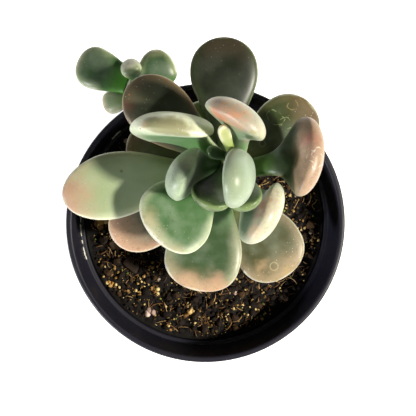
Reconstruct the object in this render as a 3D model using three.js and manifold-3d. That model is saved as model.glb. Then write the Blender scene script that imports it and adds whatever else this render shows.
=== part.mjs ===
// Potted thick-leaved succulent: a leaning stem with a loose rosette of fat waxy leaves and a small side
// shoot, planted in a thin black growing pot. Millimetres, +Z up, origin under the middle of the pot.
import * as THREE from 'three';
import Module from 'manifold-3d';

const wasm = await Module();
wasm.setup();

// Pot
const RIM_RADIUS = 52.5;
const RIM_HEIGHT = 90;
const LIP_WIDTH = 2.3;
const COLLAR_DEPTH = 13;
const COLLAR_FOOT = RIM_HEIGHT - COLLAR_DEPTH;
const COLLAR_INNER_RADIUS = 48.5;
const LEDGE_INNER_RADIUS = 46.9;
const LEDGE_FALL = 0.3;
const WALL = 1.4;
const FLOOR = 1.8;
const FLOOR_INNER_RADIUS = 35.6;
const FOOT_BEVEL = 1.2;
const DRAIN_COUNT = 6;
const DRAIN_RADIUS = 3.5;
const DRAIN_RING_RADIUS = 25;
const DRAIN_SIDES = 24;
const POT_SEGMENTS = 60;

// Soil
const SOIL_EDGE = COLLAR_FOOT - 0.8;
const SOIL_MOUND = 2.0;
const SOIL_ROUGHNESS = 0.7;
const SOIL_RINGS = 9;
const SOIL_SEGMENTS = 44;
const SOIL_SEED = 71;
const CHIP_COUNT = 18;
const CHIP_SIZE = [6.5, 3.4, 2.0];
const CHIP_TILT = 12;
const GRAIN_COUNT = 8;
const GRAIN_RADIUS = 1.5;
const BIT_LIFT = 0.3;
const BIT_SMALLEST = 0.8;
const BIT_SPREAD = 0.5;

// Space left between neighbouring pieces
const GAP = 0.3;

// Stems: x, y, height over the rim, radius
const MAIN_STEM = [
  [2.0, 9.0, -34, 4.2],
  [3.5, 12.0, -14, 4.2],
  [5.0, 17.0, 0, 4.1],
  [6.5, 21.0, 16, 3.8],
  [7.5, 24.0, 34, 3.0],
];
const SHOOT_STEM = [
  [-9.0, 28.0, -30, 2.2],
  [-12.0, 33.0, -14, 2.3],
  [-17.0, 42.0, 0, 2.3],
  [-21.5, 47.5, 6, 2.3],
  [-26.0, 51.0, 10, 2.1],
];
const STEM_STATIONS = 10;
const STEM_SIDES = 12;
const DOME_ANGLES = [0.45, 0.9, 1.25];

// Leaves
const LEAF_STATIONS = 10;
const LEAF_SIDES = 12;
const UPPER_SHARE = 0.38;
const CUP = 0.1;
const NECK_WIDTH = 7;
const NECK_THICKNESS = 4.5;
const SEAT_RADIUS = 2.4;
const THICKEST = 0.6;
const THICKNESS_BLUNT = 2.6;
// Under one fills the section out towards a rounded bar
const FULLNESS = 0.9;
const STATION_BIAS = 1.7;

// Each leaf: height of its seat over the rim and its bearing on the stem in degrees, its tip (x, y, height
// over the rim), width and thickness. Curl lifts the tip, swing bends the leaf sideways, facing is the
// bearing the outer side looks to, blunt squares off the tip, thickest and widest are shares of the length.
const LEAVES = [
  { name: 'leaf_01', seat: 6, bearing: 172, tip: [-28.8, 31.5, 9], width: 20, thick: 8 },
  { name: 'leaf_02', seat: 3, bearing: 214, tip: [-35, -4.5, 6], width: 22, thick: 8, curl: 1 },
  { name: 'leaf_03', seat: 8, bearing: 118, tip: [-4, 45, 9], width: 18, thick: 7 },
  {
    name: 'leaf_04', seat: 3, bearing: 300, tip: [30, -19, 4], width: 26, thick: 9,
    curl: 1, blunt: 2.6,
  },
  {
    name: 'leaf_05', seat: 7, bearing: 254, tip: [-4.5, -24, 6], width: 28, thick: 9,
    curl: 1, blunt: 2.8, flare: 0.9,
  },
  { name: 'leaf_06', seat: 7, bearing: 42, tip: [38, 43, 12], width: 23, thick: 9, curl: 1 },
  {
    name: 'leaf_07', seat: 10, bearing: 190, tip: [-51, 9.5, 17], width: 23.5, thick: 9,
    curl: 2, swing: -2.5, blunt: 1.9,
  },
  {
    name: 'leaf_08', seat: 12, bearing: 75, tip: [5, 67, 16], width: 24, thick: 9.5,
    curl: 1, widest: 0.72, flare: 1.7,
  },
  {
    name: 'leaf_09', seat: 17, bearing: 230, tip: [-19.3, -2.8, 26], width: 27, thick: 9,
    curl: 2, blunt: 2.8,
  },
  {
    name: 'leaf_10', seat: 16, bearing: 335, tip: [34.2, 25.5, 36], width: 27.4, thick: 9.2,
    curl: 8.4, swing: 2, facing: 343, widest: 0.8, flare: 3, thickest: 0.76,
  },
  { name: 'leaf_11', seat: 17, bearing: 145, tip: [-27.6, 49.5, 24], width: 21.4, thick: 9, curl: 1 },
  {
    name: 'leaf_12', seat: 20, bearing: 310, tip: [18.2, 4.8, 34], width: 23.6, thick: 8.8,
    curl: 8.8, swing: -3, facing: 341, widest: 0.75, flare: 2, thickest: 0.76,
  },
  {
    name: 'leaf_13', seat: 24, bearing: 45, tip: [5.3, 37.1, 54], width: 21.8, thick: 8.1,
    curl: 4.3, swing: 0.6, facing: 51, widest: 0.76, flare: 3, thickest: 0.76,
  },
  {
    name: 'leaf_14', seat: 24, bearing: 190, tip: [-9.6, 16.8, 44], width: 18.8, thick: 8.3,
    curl: 5.1, swing: 2.5, facing: 142, widest: 0.53, thickest: 0.7,
  },
  {
    name: 'leaf_15', seat: 30, bearing: 335, tip: [3.8, 13, 55], width: 18.6, thick: 9,
    curl: 2, swing: 1.8, facing: 13,
  },
  {
    name: 'leaf_16', seat: 22, bearing: 150, tip: [-14.8, 33.8, 42], width: 29, thick: 8.2,
    curl: 5.7, swing: 7, facing: 24, thickest: 0.76,
  },
  {
    name: 'leaf_17', seat: 27, bearing: 250, tip: [-2.5, 9, 38], width: 14, thick: 6,
    curl: 2, facing: 264,
  },
  { name: 'leaf_18', seat: 28, bearing: 305, tip: [12, 8, 38], width: 12, thick: 6, curl: 2 },
];

// Growing tip and the very young leaves around it, same measures
const TIP_RADIUS = 3.2;
const TIP_HEIGHT = 37;
const CROWN = [
  { bearing: 110, tip: [3, 34, 46.5], width: 4.2, thick: 2.8 },
  { bearing: 165, tip: [-1, 26.5, 41], width: 4.4, thick: 3 },
  { bearing: 250, tip: [6, 19, 44], width: 5, thick: 3.4 },
  { bearing: 10, tip: [9.5, 24, 43], width: 4.6, thick: 3.2 },
].map((leaf) => ({ ...leaf, seat: 34, curl: 1, neckWidth: 3, neckThick: 2.2 }));

// Leaves of the side shoot: the seat is a point (x, y, height over the rim)
const SHOOT_LEAVES = [
  {
    name: 'shoot_leaf_1', seat: [-28.5, 52, 9], tip: [-46.8, 59.5, 6], width: 15.3, thick: 11,
    blunt: 2, flare: 0.8, neckWidth: 9.5,
  },
  {
    name: 'shoot_leaf_2', seat: [-26, 53, 9.5], tip: [-28, 57.8, 14.5], width: 7.4, thick: 8,
    neckWidth: 4,
  },
  {
    name: 'shoot_leaf_3', seat: [-17.5, 47, 9], tip: [-18.8, 63.3, 11], width: 14.2, thick: 10,
    blunt: 1.9, widest: 0.45, neckWidth: 6,
  },
  { name: 'shoot_leaf_4', seat: [-27, 47, 8], tip: [-37.8, 43.9, 4], width: 8.4, thick: 8, neckWidth: 5 },
  { name: 'shoot_leaf_5', seat: [-24, 50, 9], tip: [-14, 51, 9], width: 9, thick: 7, neckWidth: 4 },
];

const COLOURS = {
  pot: 0x1b1d27,
  soil: 0x2a1f19,
  stem: 0x7d8a5a,
  leaf: 0x8fae86,
  young: 0xa4c487,
};

// A repeatable stream of numbers between 0 and 1.
function stream(seed) {
  let state = seed >>> 0;
  return () => {
    state = (Math.imul(state, 1664525) + 1013904223) >>> 0;
    return state / 4294967296;
  };
}

// Eases from 0 to 1 with a level start and end.
function ease(x) {
  return (1 - Math.cos(Math.PI * THREE.MathUtils.clamp(x, 0, 1))) / 2;
}

// A closed solid skinned over rings of points, with a point closing each end.
function skin(rings, first, last) {
  const sides = rings[0].length;
  const points = [first, ...rings.flat(), last];
  const triangles = [];
  const at = (ring, side) => 1 + ring * sides + (side % sides);
  for (let side = 0; side < sides; side++) {
    triangles.push(0, at(0, side + 1), at(0, side));
    triangles.push(points.length - 1, at(rings.length - 1, side), at(rings.length - 1, side + 1));
    for (let ring = 0; ring + 1 < rings.length; ring++) {
      const [a, b] = [at(ring, side), at(ring, side + 1)];
      const [c, d] = [at(ring + 1, side + 1), at(ring + 1, side)];
      triangles.push(a, b, c, a, c, d);
    }
  }
  return new wasm.Manifold(new wasm.Mesh({
    numProp: 3,
    vertProperties: new Float32Array(points.flatMap((p) => [p.x, p.y, p.z])),
    triVerts: new Uint32Array(triangles),
  }));
}

function ringAt(radius, height, segments) {
  return Array.from({ length: segments }, (_, k) => {
    const angle = (2 * Math.PI * k) / segments;
    return new THREE.Vector3(radius * Math.cos(angle), radius * Math.sin(angle), height);
  });
}

// A solid turned about the vertical axis from a profile of [radius, height] points that starts and ends
// on the axis.
function turned(profile, segments) {
  const rings = profile.slice(1, -1).map(([radius, height]) => ringAt(radius, height, segments));
  const [start, end] = [profile[0], profile[profile.length - 1]];
  return skin(rings, new THREE.Vector3(0, 0, start[1]), new THREE.Vector3(0, 0, end[1]));
}

// The largest single body of a solid.
function mainBody(solid) {
  const bodies = solid.decompose();
  return bodies.reduce((best, body) => (body.volume() > best.volume() ? body : best));
}

function node(name, solid, colour, roughness) {
  const mesh = solid.getMesh();
  const geometry = new THREE.BufferGeometry();
  geometry.setAttribute('position', new THREE.BufferAttribute(new Float32Array(mesh.vertProperties), 3));
  geometry.setIndex(new THREE.BufferAttribute(new Uint32Array(mesh.triVerts), 1));
  geometry.computeVertexNormals();
  const material = new THREE.MeshStandardMaterial({ color: colour, roughness, metalness: 0 });
  const part = new THREE.Mesh(geometry, material);
  part.name = name;
  return part;
}

// Inner radius of the pot's tapered wall at a height.
function innerRadius(z) {
  const rise = COLLAR_FOOT - LEDGE_FALL - FLOOR;
  return FLOOR_INNER_RADIUS + ((LEDGE_INNER_RADIUS - FLOOR_INNER_RADIUS) * (z - FLOOR)) / rise;
}

// Pot: lip, collar, ledge, tapered wall, flat floor with round drain holes.
function buildPot() {
  const innerTop = RIM_RADIUS - LIP_WIDTH;
  const profile = [
    [0, 0],
    [innerRadius(0) + WALL - FOOT_BEVEL, 0],
    [innerRadius(FOOT_BEVEL) + WALL, FOOT_BEVEL],
    [innerRadius(COLLAR_FOOT - 4) + WALL, COLLAR_FOOT - 4],
    [COLLAR_INNER_RADIUS + WALL, COLLAR_FOOT - 2.4],
    [innerTop + WALL - 0.2, RIM_HEIGHT - 4.2],
    [RIM_RADIUS - 0.5, RIM_HEIGHT - 3.2],
    [RIM_RADIUS, RIM_HEIGHT - 1.9],
    [RIM_RADIUS - 0.3, RIM_HEIGHT - 0.7],
    [RIM_RADIUS - 1.1, RIM_HEIGHT],
    [innerTop + 0.4, RIM_HEIGHT - 0.3],
    [innerTop, RIM_HEIGHT - 1.2],
    [COLLAR_INNER_RADIUS, COLLAR_FOOT],
    [LEDGE_INNER_RADIUS, COLLAR_FOOT - LEDGE_FALL],
    [FLOOR_INNER_RADIUS, FLOOR],
    [0, FLOOR],
  ];
  let pot = turned(profile, POT_SEGMENTS);
  for (let k = 0; k < DRAIN_COUNT; k++) {
    const angle = (2 * Math.PI * (k + 0.5)) / DRAIN_COUNT;
    const hole = wasm.Manifold.cylinder(FLOOR + 2, DRAIN_RADIUS, DRAIN_RADIUS, DRAIN_SIDES)
      .translate([DRAIN_RING_RADIUS * Math.cos(angle), DRAIN_RING_RADIUS * Math.sin(angle), -1]);
    pot = pot.subtract(hole);
  }
  return pot;
}

// Height of the soil over a point, without the loose bits on it.
function soilHeight(x, y) {
  const radius = Math.hypot(x, y) / LEDGE_INNER_RADIUS;
  const waves = Math.sin(x * 0.31 + 1.3) * Math.cos(y * 0.27 - 0.4) + 0.6 * Math.sin(x * 0.73 - y * 0.58);
  return SOIL_EDGE + SOIL_MOUND * (1 - radius * radius) + SOIL_ROUGHNESS * waves * (1 - radius ** 6);
}

// Soil: fills the pot up to the ledge, with bark chips and mineral grains standing out of its top.
function buildSoil(holes) {
  const rings = [ringAt(innerRadius(FLOOR + GAP) - GAP, FLOOR + GAP, SOIL_SEGMENTS)];
  const edge = innerRadius(SOIL_EDGE) - GAP;
  for (let k = 0; k < SOIL_RINGS; k++) {
    const ring = ringAt(edge * (1 - k / SOIL_RINGS), 0, SOIL_SEGMENTS);
    ring.forEach((p) => (p.z = soilHeight(p.x, p.y)));
    rings.push(ring);
  }
  const bottom = new THREE.Vector3(0, 0, FLOOR + GAP);
  let soil = skin(rings, bottom, new THREE.Vector3(0, 0, soilHeight(0, 0)));
  const draw = stream(SOIL_SEED);
  for (let k = 0; k < CHIP_COUNT + GRAIN_COUNT; k++) {
    const radius = edge * Math.sqrt(0.02 + 0.8 * draw());
    const angle = 2 * Math.PI * draw();
    const [x, y] = [radius * Math.cos(angle), radius * Math.sin(angle)];
    const [turn, tilt] = [360 * draw(), CHIP_TILT * (2 * draw() - 1)];
    const size = BIT_SMALLEST + BIT_SPREAD * draw();
    const bit = k < CHIP_COUNT
      ? wasm.Manifold.cube(CHIP_SIZE.map((length) => length * size), true)
      : wasm.Manifold.sphere(GRAIN_RADIUS * size, 8);
    soil = soil.add(bit.rotate([tilt, tilt, turn]).translate([x, y, soilHeight(x, y) + BIT_LIFT]));
  }
  return mainBody(holes.reduce((rest, hole) => rest.subtract(hole), soil));
}

// A round stem along its points, domed at the top; grow widens it all round.
function buildStem(stations, grow) {
  const points = stations.map(([x, y, height]) => new THREE.Vector3(x, y, RIM_HEIGHT + height));
  const curve = new THREE.CatmullRomCurve3(points, false, 'centripetal');
  const rings = [];
  const addRing = (centre, tangent, radius) => {
    const side = new THREE.Vector3(1, 0, 0).cross(tangent).normalize();
    const other = tangent.clone().cross(side);
    rings.push(Array.from({ length: STEM_SIDES }, (_, k) => {
      const angle = (2 * Math.PI * k) / STEM_SIDES;
      return centre.clone()
        .addScaledVector(side, radius * Math.cos(angle))
        .addScaledVector(other, radius * Math.sin(angle));
    }));
  };
  for (let k = 0; k <= STEM_STATIONS; k++) {
    const t = (k / STEM_STATIONS) * (stations.length - 1);
    const low = Math.min(Math.floor(t), stations.length - 2);
    const radius = THREE.MathUtils.lerp(stations[low][3], stations[low + 1][3], t - low) + grow;
    const tangent = curve.getTangent(k / STEM_STATIONS);
    const centre = curve.getPoint(k / STEM_STATIONS);
    if (k === 0) centre.addScaledVector(tangent, -grow);
    addRing(centre, tangent, radius);
  }
  const tangent = curve.getTangent(1);
  const radius = stations[stations.length - 1][3] + grow;
  const domePoint = (rise) => points[points.length - 1].clone().addScaledVector(tangent, rise);
  for (const angle of DOME_ANGLES) {
    addRing(domePoint(radius * Math.sin(angle)), tangent, radius * Math.cos(angle));
  }
  const first = points[0].clone().addScaledVector(curve.getTangent(0), -grow);
  return skin(rings, first, domePoint(radius));
}

// Centre of the main stem at a height over the rim.
function stemCentre(height) {
  const above = MAIN_STEM.findIndex((station) => station[2] > height);
  const high = above < 1 ? MAIN_STEM.length - 1 : above;
  const [a, b] = [MAIN_STEM[high - 1], MAIN_STEM[high]];
  const share = (height - a[2]) / (b[2] - a[2]);
  return new THREE.Vector3(a[0] + (b[0] - a[0]) * share, a[1] + (b[1] - a[1]) * share, RIM_HEIGHT + height);
}

// A fat egg-shaped leaf from its seat to its tip; grow widens it all round.
function buildLeaf(leaf, grow) {
  const { curl = 0, swing = 0, blunt = 2.3, widest = 0.68, flare = 1.15, thickest = THICKEST } = leaf;
  const width = leaf.width + 2 * grow;
  const thick = leaf.thick + 2 * grow;
  const neck = ((leaf.neckWidth ?? NECK_WIDTH) + 2 * grow) / width;
  const neckThick = ((leaf.neckThick ?? NECK_THICKNESS) + 2 * grow) / thick;
  const up = new THREE.Vector3(0, 0, 1);
  const bearing = THREE.MathUtils.degToRad(leaf.bearing ?? 0);
  const outward = new THREE.Vector3(Math.cos(bearing), Math.sin(bearing), 0);
  const seat = Array.isArray(leaf.seat)
    ? new THREE.Vector3(leaf.seat[0], leaf.seat[1], RIM_HEIGHT + leaf.seat[2])
    : stemCentre(leaf.seat).addScaledVector(outward, SEAT_RADIUS);
  const tip = new THREE.Vector3(leaf.tip[0], leaf.tip[1], RIM_HEIGHT + leaf.tip[2]);
  const chord = tip.clone().sub(seat);
  const reach = Math.hypot(chord.x, chord.y);
  const facing = leaf.facing === undefined
    ? new THREE.Vector3(chord.x / reach, chord.y / reach, 0)
    : new THREE.Vector3(1, 0, 0).applyAxisAngle(up, THREE.MathUtils.degToRad(leaf.facing));
  const along = chord.clone().normalize();
  const normal = up.clone().multiplyScalar(reach).addScaledVector(facing, -chord.z);
  normal.addScaledVector(along, -normal.dot(along)).normalize();
  const across = normal.clone().cross(along);
  tip.addScaledVector(along, grow);
  seat.addScaledVector(along, -grow);
  const bend = seat.clone().add(tip).multiplyScalar(0.5)
    .addScaledVector(normal, -2 * curl)
    .addScaledVector(across, 2 * swing);
  const curve = new THREE.QuadraticBezierCurve3(seat, bend, tip);
  const rings = [];
  for (let k = 0; k < LEAF_STATIONS; k++) {
    const u = 1 - (1 - k / LEAF_STATIONS) ** STATION_BIAS;
    const tangent = curve.getTangent(u);
    const face = normal.clone().addScaledVector(tangent, -normal.dot(tangent)).normalize();
    const side = face.clone().cross(tangent);
    const wide = u <= widest
      ? neck + (1 - neck) * ease(u / widest) ** flare
      : Math.sqrt(1 - ((u - widest) / (1 - widest)) ** blunt);
    const deep = u <= thickest
      ? neckThick + (1 - neckThick) * ease(u / thickest)
      : Math.sqrt(1 - ((u - thickest) / (1 - thickest)) ** THICKNESS_BLUNT);
    const cup = CUP * (leaf.width / 2) * wide * ease(u / thickest);
    rings.push(Array.from({ length: LEAF_SIDES }, (_, j) => {
      const angle = (2 * Math.PI * j) / LEAF_SIDES;
      const [c, s] = [Math.cos(angle), Math.sin(angle)]
        .map((turn) => Math.sign(turn) * Math.abs(turn) ** FULLNESS);
      const height = thick * deep * s * (s > 0 ? UPPER_SHARE : 1 - UPPER_SHARE) + cup * c * c;
      return curve.getPoint(u).addScaledVector(side, (width / 2) * wide * c).addScaledVector(face, height);
    }));
  }
  return skin(rings, seat, tip);
}

// What is left of a solid beside the spaces that others fill.
function besides(solid, spaces) {
  const touching = spaces.filter((space) => solid.intersect(space).volume() > 0);
  return mainBody(touching.reduce((rest, space) => rest.subtract(space), solid));
}

const group = new THREE.Group();
group.name = 'potted_succulent';

const stemSpaces = [buildStem(MAIN_STEM, GAP), buildStem(SHOOT_STEM, GAP)];
group.add(node('pot', buildPot(), COLOURS.pot, 0.4));
group.add(node('soil', buildSoil(stemSpaces), COLOURS.soil, 0.95));
group.add(node('main_stem', buildStem(MAIN_STEM, 0), COLOURS.stem, 0.7));
group.add(node('shoot_stem', buildStem(SHOOT_STEM, 0), COLOURS.stem, 0.7));

// Upper leaves keep their whole form, and a lower leaf is hollowed where one rests against it.
const spaces = [...stemSpaces];
for (const leaf of [...LEAVES].reverse().concat(SHOOT_LEAVES)) {
  group.add(node(leaf.name, besides(buildLeaf(leaf, 0), spaces), COLOURS.leaf, 0.55));
  spaces.push(buildLeaf(leaf, GAP));
}

// Growing tip with its youngest leaves, one body resting over the end of the stem.
const tipBud = wasm.Manifold.sphere(TIP_RADIUS, STEM_SIDES).translate(stemCentre(TIP_HEIGHT).toArray());
const crown = CROWN.reduce((whole, leaf) => whole.add(buildLeaf(leaf, 0)), tipBud);
group.add(node('crown', besides(crown, spaces), COLOURS.young, 0.55));

export default group;
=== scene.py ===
"""Dresses a potted thick-leaved succulent for its picture.

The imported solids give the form. This script puts smooth, finely shaped leaves, stems, soil and pot in their
place, adds what covers the soil, and gives every surface its finish. Shapes are worked out in millimetres in
the frame's own axes, +Z up from under the middle of the pot, and turned to metres as they enter a mesh.
"""

import logging
import math
from dataclasses import dataclass, field
from enum import Enum
from functools import cached_property
from typing import Any

import bmesh
import bpy
import numpy as np
from bpy.types import Material, NodeSocket, Object
from mathutils import Matrix, Vector
from numpy import ndarray
from numpy.random import Generator


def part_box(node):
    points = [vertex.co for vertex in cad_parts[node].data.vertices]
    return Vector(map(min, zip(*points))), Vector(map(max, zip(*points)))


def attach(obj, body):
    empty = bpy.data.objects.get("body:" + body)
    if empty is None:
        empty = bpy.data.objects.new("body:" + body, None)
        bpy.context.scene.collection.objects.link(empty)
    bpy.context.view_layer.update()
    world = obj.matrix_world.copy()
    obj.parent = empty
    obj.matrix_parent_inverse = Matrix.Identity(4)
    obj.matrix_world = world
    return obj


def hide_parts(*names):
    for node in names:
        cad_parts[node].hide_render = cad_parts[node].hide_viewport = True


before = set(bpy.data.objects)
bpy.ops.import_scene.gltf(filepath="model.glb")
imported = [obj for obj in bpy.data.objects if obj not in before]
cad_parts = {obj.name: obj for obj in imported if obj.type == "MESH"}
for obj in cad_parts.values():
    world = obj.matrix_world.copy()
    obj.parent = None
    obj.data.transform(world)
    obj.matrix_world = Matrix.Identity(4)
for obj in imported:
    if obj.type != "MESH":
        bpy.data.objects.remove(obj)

log = logging.getLogger("succulent")

MM = 0.001
EAST, UP = np.array([1.0, 0.0, 0.0]), np.array([0.0, 0.0, 1.0])
FLAT = np.array([1.0, 1.0, 0.0])
RIM_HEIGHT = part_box("pot")[1][2] / MM
ROOT = "root"


# Meshes

def full_turn(count: int) -> ndarray:
    """Evenly spaced angles round a circle."""
    return 2 * np.pi * np.arange(count) / count


def polar(angle: ndarray | float, radius: ndarray | float = 1.0) -> ndarray:
    """Places on the plane from angles and radii."""
    return np.stack([radius * np.cos(angle), radius * np.sin(angle)], axis=-1)


def lift(places: ndarray, height: ndarray | float) -> ndarray:
    """Places on the plane, each raised to its height."""
    return np.concatenate([places, np.broadcast_to(height, places.shape[:-1])[..., None]], axis=-1)


def heading(degrees: float) -> ndarray:
    """Level direction of a bearing."""
    return lift(polar(math.radians(degrees)), 0.0)


def ring_faces(rows: int, sides: int) -> list[ndarray]:
    """Faces of a skin over rings whose points run: first pole, ring after ring, last pole.

    Args:
        rows: how many rings there are.
        sides: how many points a ring has.

    Returns:
        A fan of triangles to the first pole, the wall's quads and a fan to the last pole.
    """
    side = np.arange(sides)
    after = (side + 1) % sides
    ring = 1 + sides * np.arange(rows - 1)[:, None]
    wall = np.stack([ring + side, ring + after, ring + sides + after, ring + sides + side], axis=-1)
    last = 1 + sides * (rows - 1)
    first_fan = np.stack([0 * side, 1 + after, 1 + side], axis=-1)
    last_fan = np.stack([0 * side + last + sides, last + side, last + after], axis=-1)
    return [first_fan, wall.reshape(-1, 4), last_fan]


def make_mesh(
    name: str,
    points: ndarray,
    faces: list[ndarray],
    attributes: dict[str, ndarray] | None = None,
    smooth: bool = True,
) -> Object:
    """Puts arrays into the mesh of a new object at the origin.

    Args:
        name: the object's name.
        points: places in millimetres, one row each.
        faces: arrays of point numbers, triangles and quads apart.
        attributes: one number a point for each named attribute.
        smooth: whether the shading runs smoothly over the edges.

    Returns:
        The object, linked to the scene.
    """
    corners = np.concatenate([part.ravel() for part in faces]).astype(np.int32)
    sizes = np.concatenate([np.full(len(part), part.shape[1]) for part in faces])
    starts = np.concatenate([[0], np.cumsum(sizes)[:-1]]).astype(np.int32)
    mesh = bpy.data.meshes.new(name)
    mesh.vertices.add(len(points))
    mesh.vertices.foreach_set("co", (points * MM).astype(np.float32).ravel())
    mesh.loops.add(len(corners))
    mesh.loops.foreach_set("vertex_index", corners)
    mesh.polygons.add(len(sizes))
    mesh.polygons.foreach_set("loop_start", starts)
    mesh.polygons.foreach_set("use_smooth", np.full(len(sizes), smooth))
    mesh.update(calc_edges=True)
    for key, values in (attributes or {}).items():
        layer = mesh.attributes.new(key, "FLOAT", "POINT")
        layer.data.foreach_set("value", values.astype(np.float32).ravel())
    mesh.validate()
    piece = bpy.data.objects.new(name, mesh)
    bpy.context.scene.collection.objects.link(piece)
    return piece


def settle(piece: Object, slot: str, *finishes: Material, node: str = "") -> None:
    """Gives a piece its finishes and its body and, where it replaces a CAD node, hides that node.

    Args:
        piece: the piece.
        slot: not used.
        finishes: its materials, in the order of its material indices.
        node: the CAD node that it stands for, if any.
    """
    for finish in finishes:
        piece.data.materials.append(finish)
    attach(piece, ROOT)
    if node:
        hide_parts(node)


def repeat_faces(faces: ndarray, count: int, size: int) -> ndarray:
    """Faces of a shape of so many points, numbered on for each of its copies."""
    return (faces[None] + size * np.arange(count)[:, None, None]).reshape(-1, faces.shape[1])


def scatter(
    name: str,
    shape: tuple[ndarray, ndarray],
    centres: ndarray,
    turns: ndarray,
    sizes: ndarray,
    tints: ndarray,
    smooth: bool = False,
) -> Object:
    """Makes one object of many copies of a small shape: point = turn * (size * base point) + centre.

    Args:
        name: the object's name.
        shape: points of the shape, or of each copy of it, and its triangles.
        centres: where each copy goes.
        turns: a 3 x 3 turn for each copy.
        sizes: three stretches for each copy.
        tints: shade of each copy, 0 to 1.
        smooth: whether the shading runs smoothly over the edges.

    Returns:
        The object.
    """
    base, faces = shape
    count, size = len(centres), base.shape[-2]
    shaped = np.broadcast_to(base, (count, size, 3)) * sizes[:, None, :]
    points = (np.einsum("nij,nkj->nki", turns, shaped) + centres[:, None, :]).reshape(-1, 3)
    tint = {"tint": np.repeat(tints, size)}
    return make_mesh(name, points, [repeat_faces(faces, count, size)], tint, smooth)


def turned(axis: int, angle: ndarray) -> ndarray:
    """A turn about one axis for each angle.

    Args:
        axis: 0, 1 or 2 for x, y or z.
        angle: the angles in radians.

    Returns:
        A 3 x 3 turn for each.
    """
    turns = np.tile(np.eye(3), (len(angle), 1, 1))
    i, j = (axis + 1) % 3, (axis + 2) % 3
    turns[:, i, i] = turns[:, j, j] = np.cos(angle)
    turns[:, j, i] = np.sin(angle)
    turns[:, i, j] = -np.sin(angle)
    return turns


def random_turns(draw: Generator, count: int) -> ndarray:
    """Evenly spread turns, from unit quaternions w, x, y, z.

    Args:
        draw: source of the random numbers.
        count: how many turns.

    Returns:
        A 3 x 3 turn for each.
    """
    w, x, y, z = (q := draw.normal(size=(4, count))) / np.linalg.norm(q, axis=0)
    rows = [
        [1 - 2 * (y * y + z * z), 2 * (x * y - w * z), 2 * (x * z + w * y)],
        [2 * (x * y + w * z), 1 - 2 * (x * x + z * z), 2 * (y * z - w * x)],
        [2 * (x * z - w * y), 2 * (y * z + w * x), 1 - 2 * (x * x + y * y)],
    ]
    return np.moveaxis(np.array(rows), -1, 0)


def pebble(rounds: int) -> tuple[ndarray, ndarray]:
    """A ball of near-even triangles with radius 1.

    Args:
        rounds: 1 gives 20 faces and each further round four times as many.

    Returns:
        Points and triangles.
    """
    mesh = bpy.data.meshes.new("ball")
    ball = bmesh.new()
    bmesh.ops.create_icosphere(ball, subdivisions=rounds, radius=1.0)
    ball.to_mesh(mesh)
    ball.free()
    points = np.empty(3 * len(mesh.vertices))
    mesh.vertices.foreach_get("co", points)
    corners = np.empty(3 * len(mesh.polygons), dtype=np.int32)
    mesh.loops.foreach_get("vertex_index", corners)
    bpy.data.meshes.remove(mesh)
    return points.reshape(-1, 3), corners.reshape(-1, 3)


def tube(spine: ndarray, radius: ndarray, side: ndarray, other: ndarray, sides: int) -> ndarray:
    """Rings round a spine: spine + radius * (side * cosine + other * sine).

    Args:
        spine: middles of the rings.
        radius: radius of each ring.
        side: direction of each ring's first point.
        other: direction of each ring's point at a quarter turn.
        sides: how many points a ring has.

    Returns:
        Points, ring by ring.
    """
    angle = full_turn(sides)[:, None]
    ring = np.cos(angle) * side[..., None, :] + np.sin(angle) * other[..., None, :]
    return spine[..., None, :] + radius[..., None, None] * ring


# Curves and noise

HASH_STEPS, HASH_SEED, HASH_MIX, HASH_MASK = np.array([374761393, 668265263]), 974711, 1274126177, 0xFFFFFF


def ease(x: ndarray | float) -> ndarray:
    """Eases from 0 to 1 with a level start and end."""
    return (1 - np.cos(np.pi * np.clip(x, 0, 1))) / 2


def unit(vectors: ndarray) -> ndarray:
    """Vectors brought to length 1."""
    return vectors / np.linalg.norm(vectors, axis=-1, keepdims=True)


def skewed(draw: Generator, count: int | tuple[int, ...], low: float, span: float, power: float) -> ndarray:
    """Random numbers that lean to the low end: low + span * draw ** power."""
    return low + span * draw.random(count) ** power


def lattice(cells: ndarray, seed: int) -> ndarray:
    """A repeatable number between 0 and 1 for each whole-numbered cell."""
    keys = cells.astype(np.int64) @ HASH_STEPS + seed * HASH_SEED
    keys = (keys ^ (keys >> 13)) * HASH_MIX
    return ((keys ^ (keys >> 16)) & HASH_MASK) / HASH_MASK


def rough(places: ndarray, cell: float, seed: int) -> ndarray:
    """Smooth random relief between 0 and 1 over the plane.

    Each corner of a square cell has a random height, and a place takes their mean by eased nearness.

    Args:
        places: x and y in millimetres.
        cell: the cell's side in millimetres.
        seed: picks the pattern.

    Returns:
        One height a place.
    """
    low = np.floor(places / cell)
    share = places / cell - low
    share = share * share * (3 - 2 * share)
    total = np.zeros(places.shape[:-1])
    for corner in ((0, 0), (1, 0), (0, 1), (1, 1)):
        total += np.prod(np.where(corner, share, 1 - share), axis=-1) * lattice(low + corner, seed)
    return total


def crumbs(places: ndarray, cell: float, seed: int, least: float = 0.45) -> ndarray:
    """Relief of round crumbs packed side by side, between 0 and 1.

    Each cell holds one crumb at a random spot, and a place takes the height of the nearest as a dome:
    1 - (distance / cell) ** 2, scaled by the crumb's own random height.

    Args:
        places: x and y in millimetres.
        cell: the mean width of a crumb in millimetres.
        seed: picks the pattern.
        least: the lowest crumb's height.

    Returns:
        One height a place.
    """
    low = np.floor(places / cell)
    best = np.zeros(places.shape[:-1])
    for i, j in np.ndindex(3, 3):
        near = low + (i - 1, j - 1)
        spot = near + np.stack([lattice(near, seed), lattice(near, seed + 1)], axis=-1)
        away = np.linalg.norm(places / cell - spot, axis=-1)
        best = np.maximum(best, (least + (1 - least) * lattice(near, seed + 2)) * (1 - away**2))
    return best


# Node trees

SMOOTH = {"interpolation_type": "SMOOTHSTEP"}
TIMES, TIMES_PLUS = {"operation": "MULTIPLY"}, {"operation": "MULTIPLY_ADD"}
MIX_SHARE, MIX_FIRST, MIX_SECOND, MIX_OUT = 0, 6, 7, 2


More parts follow.
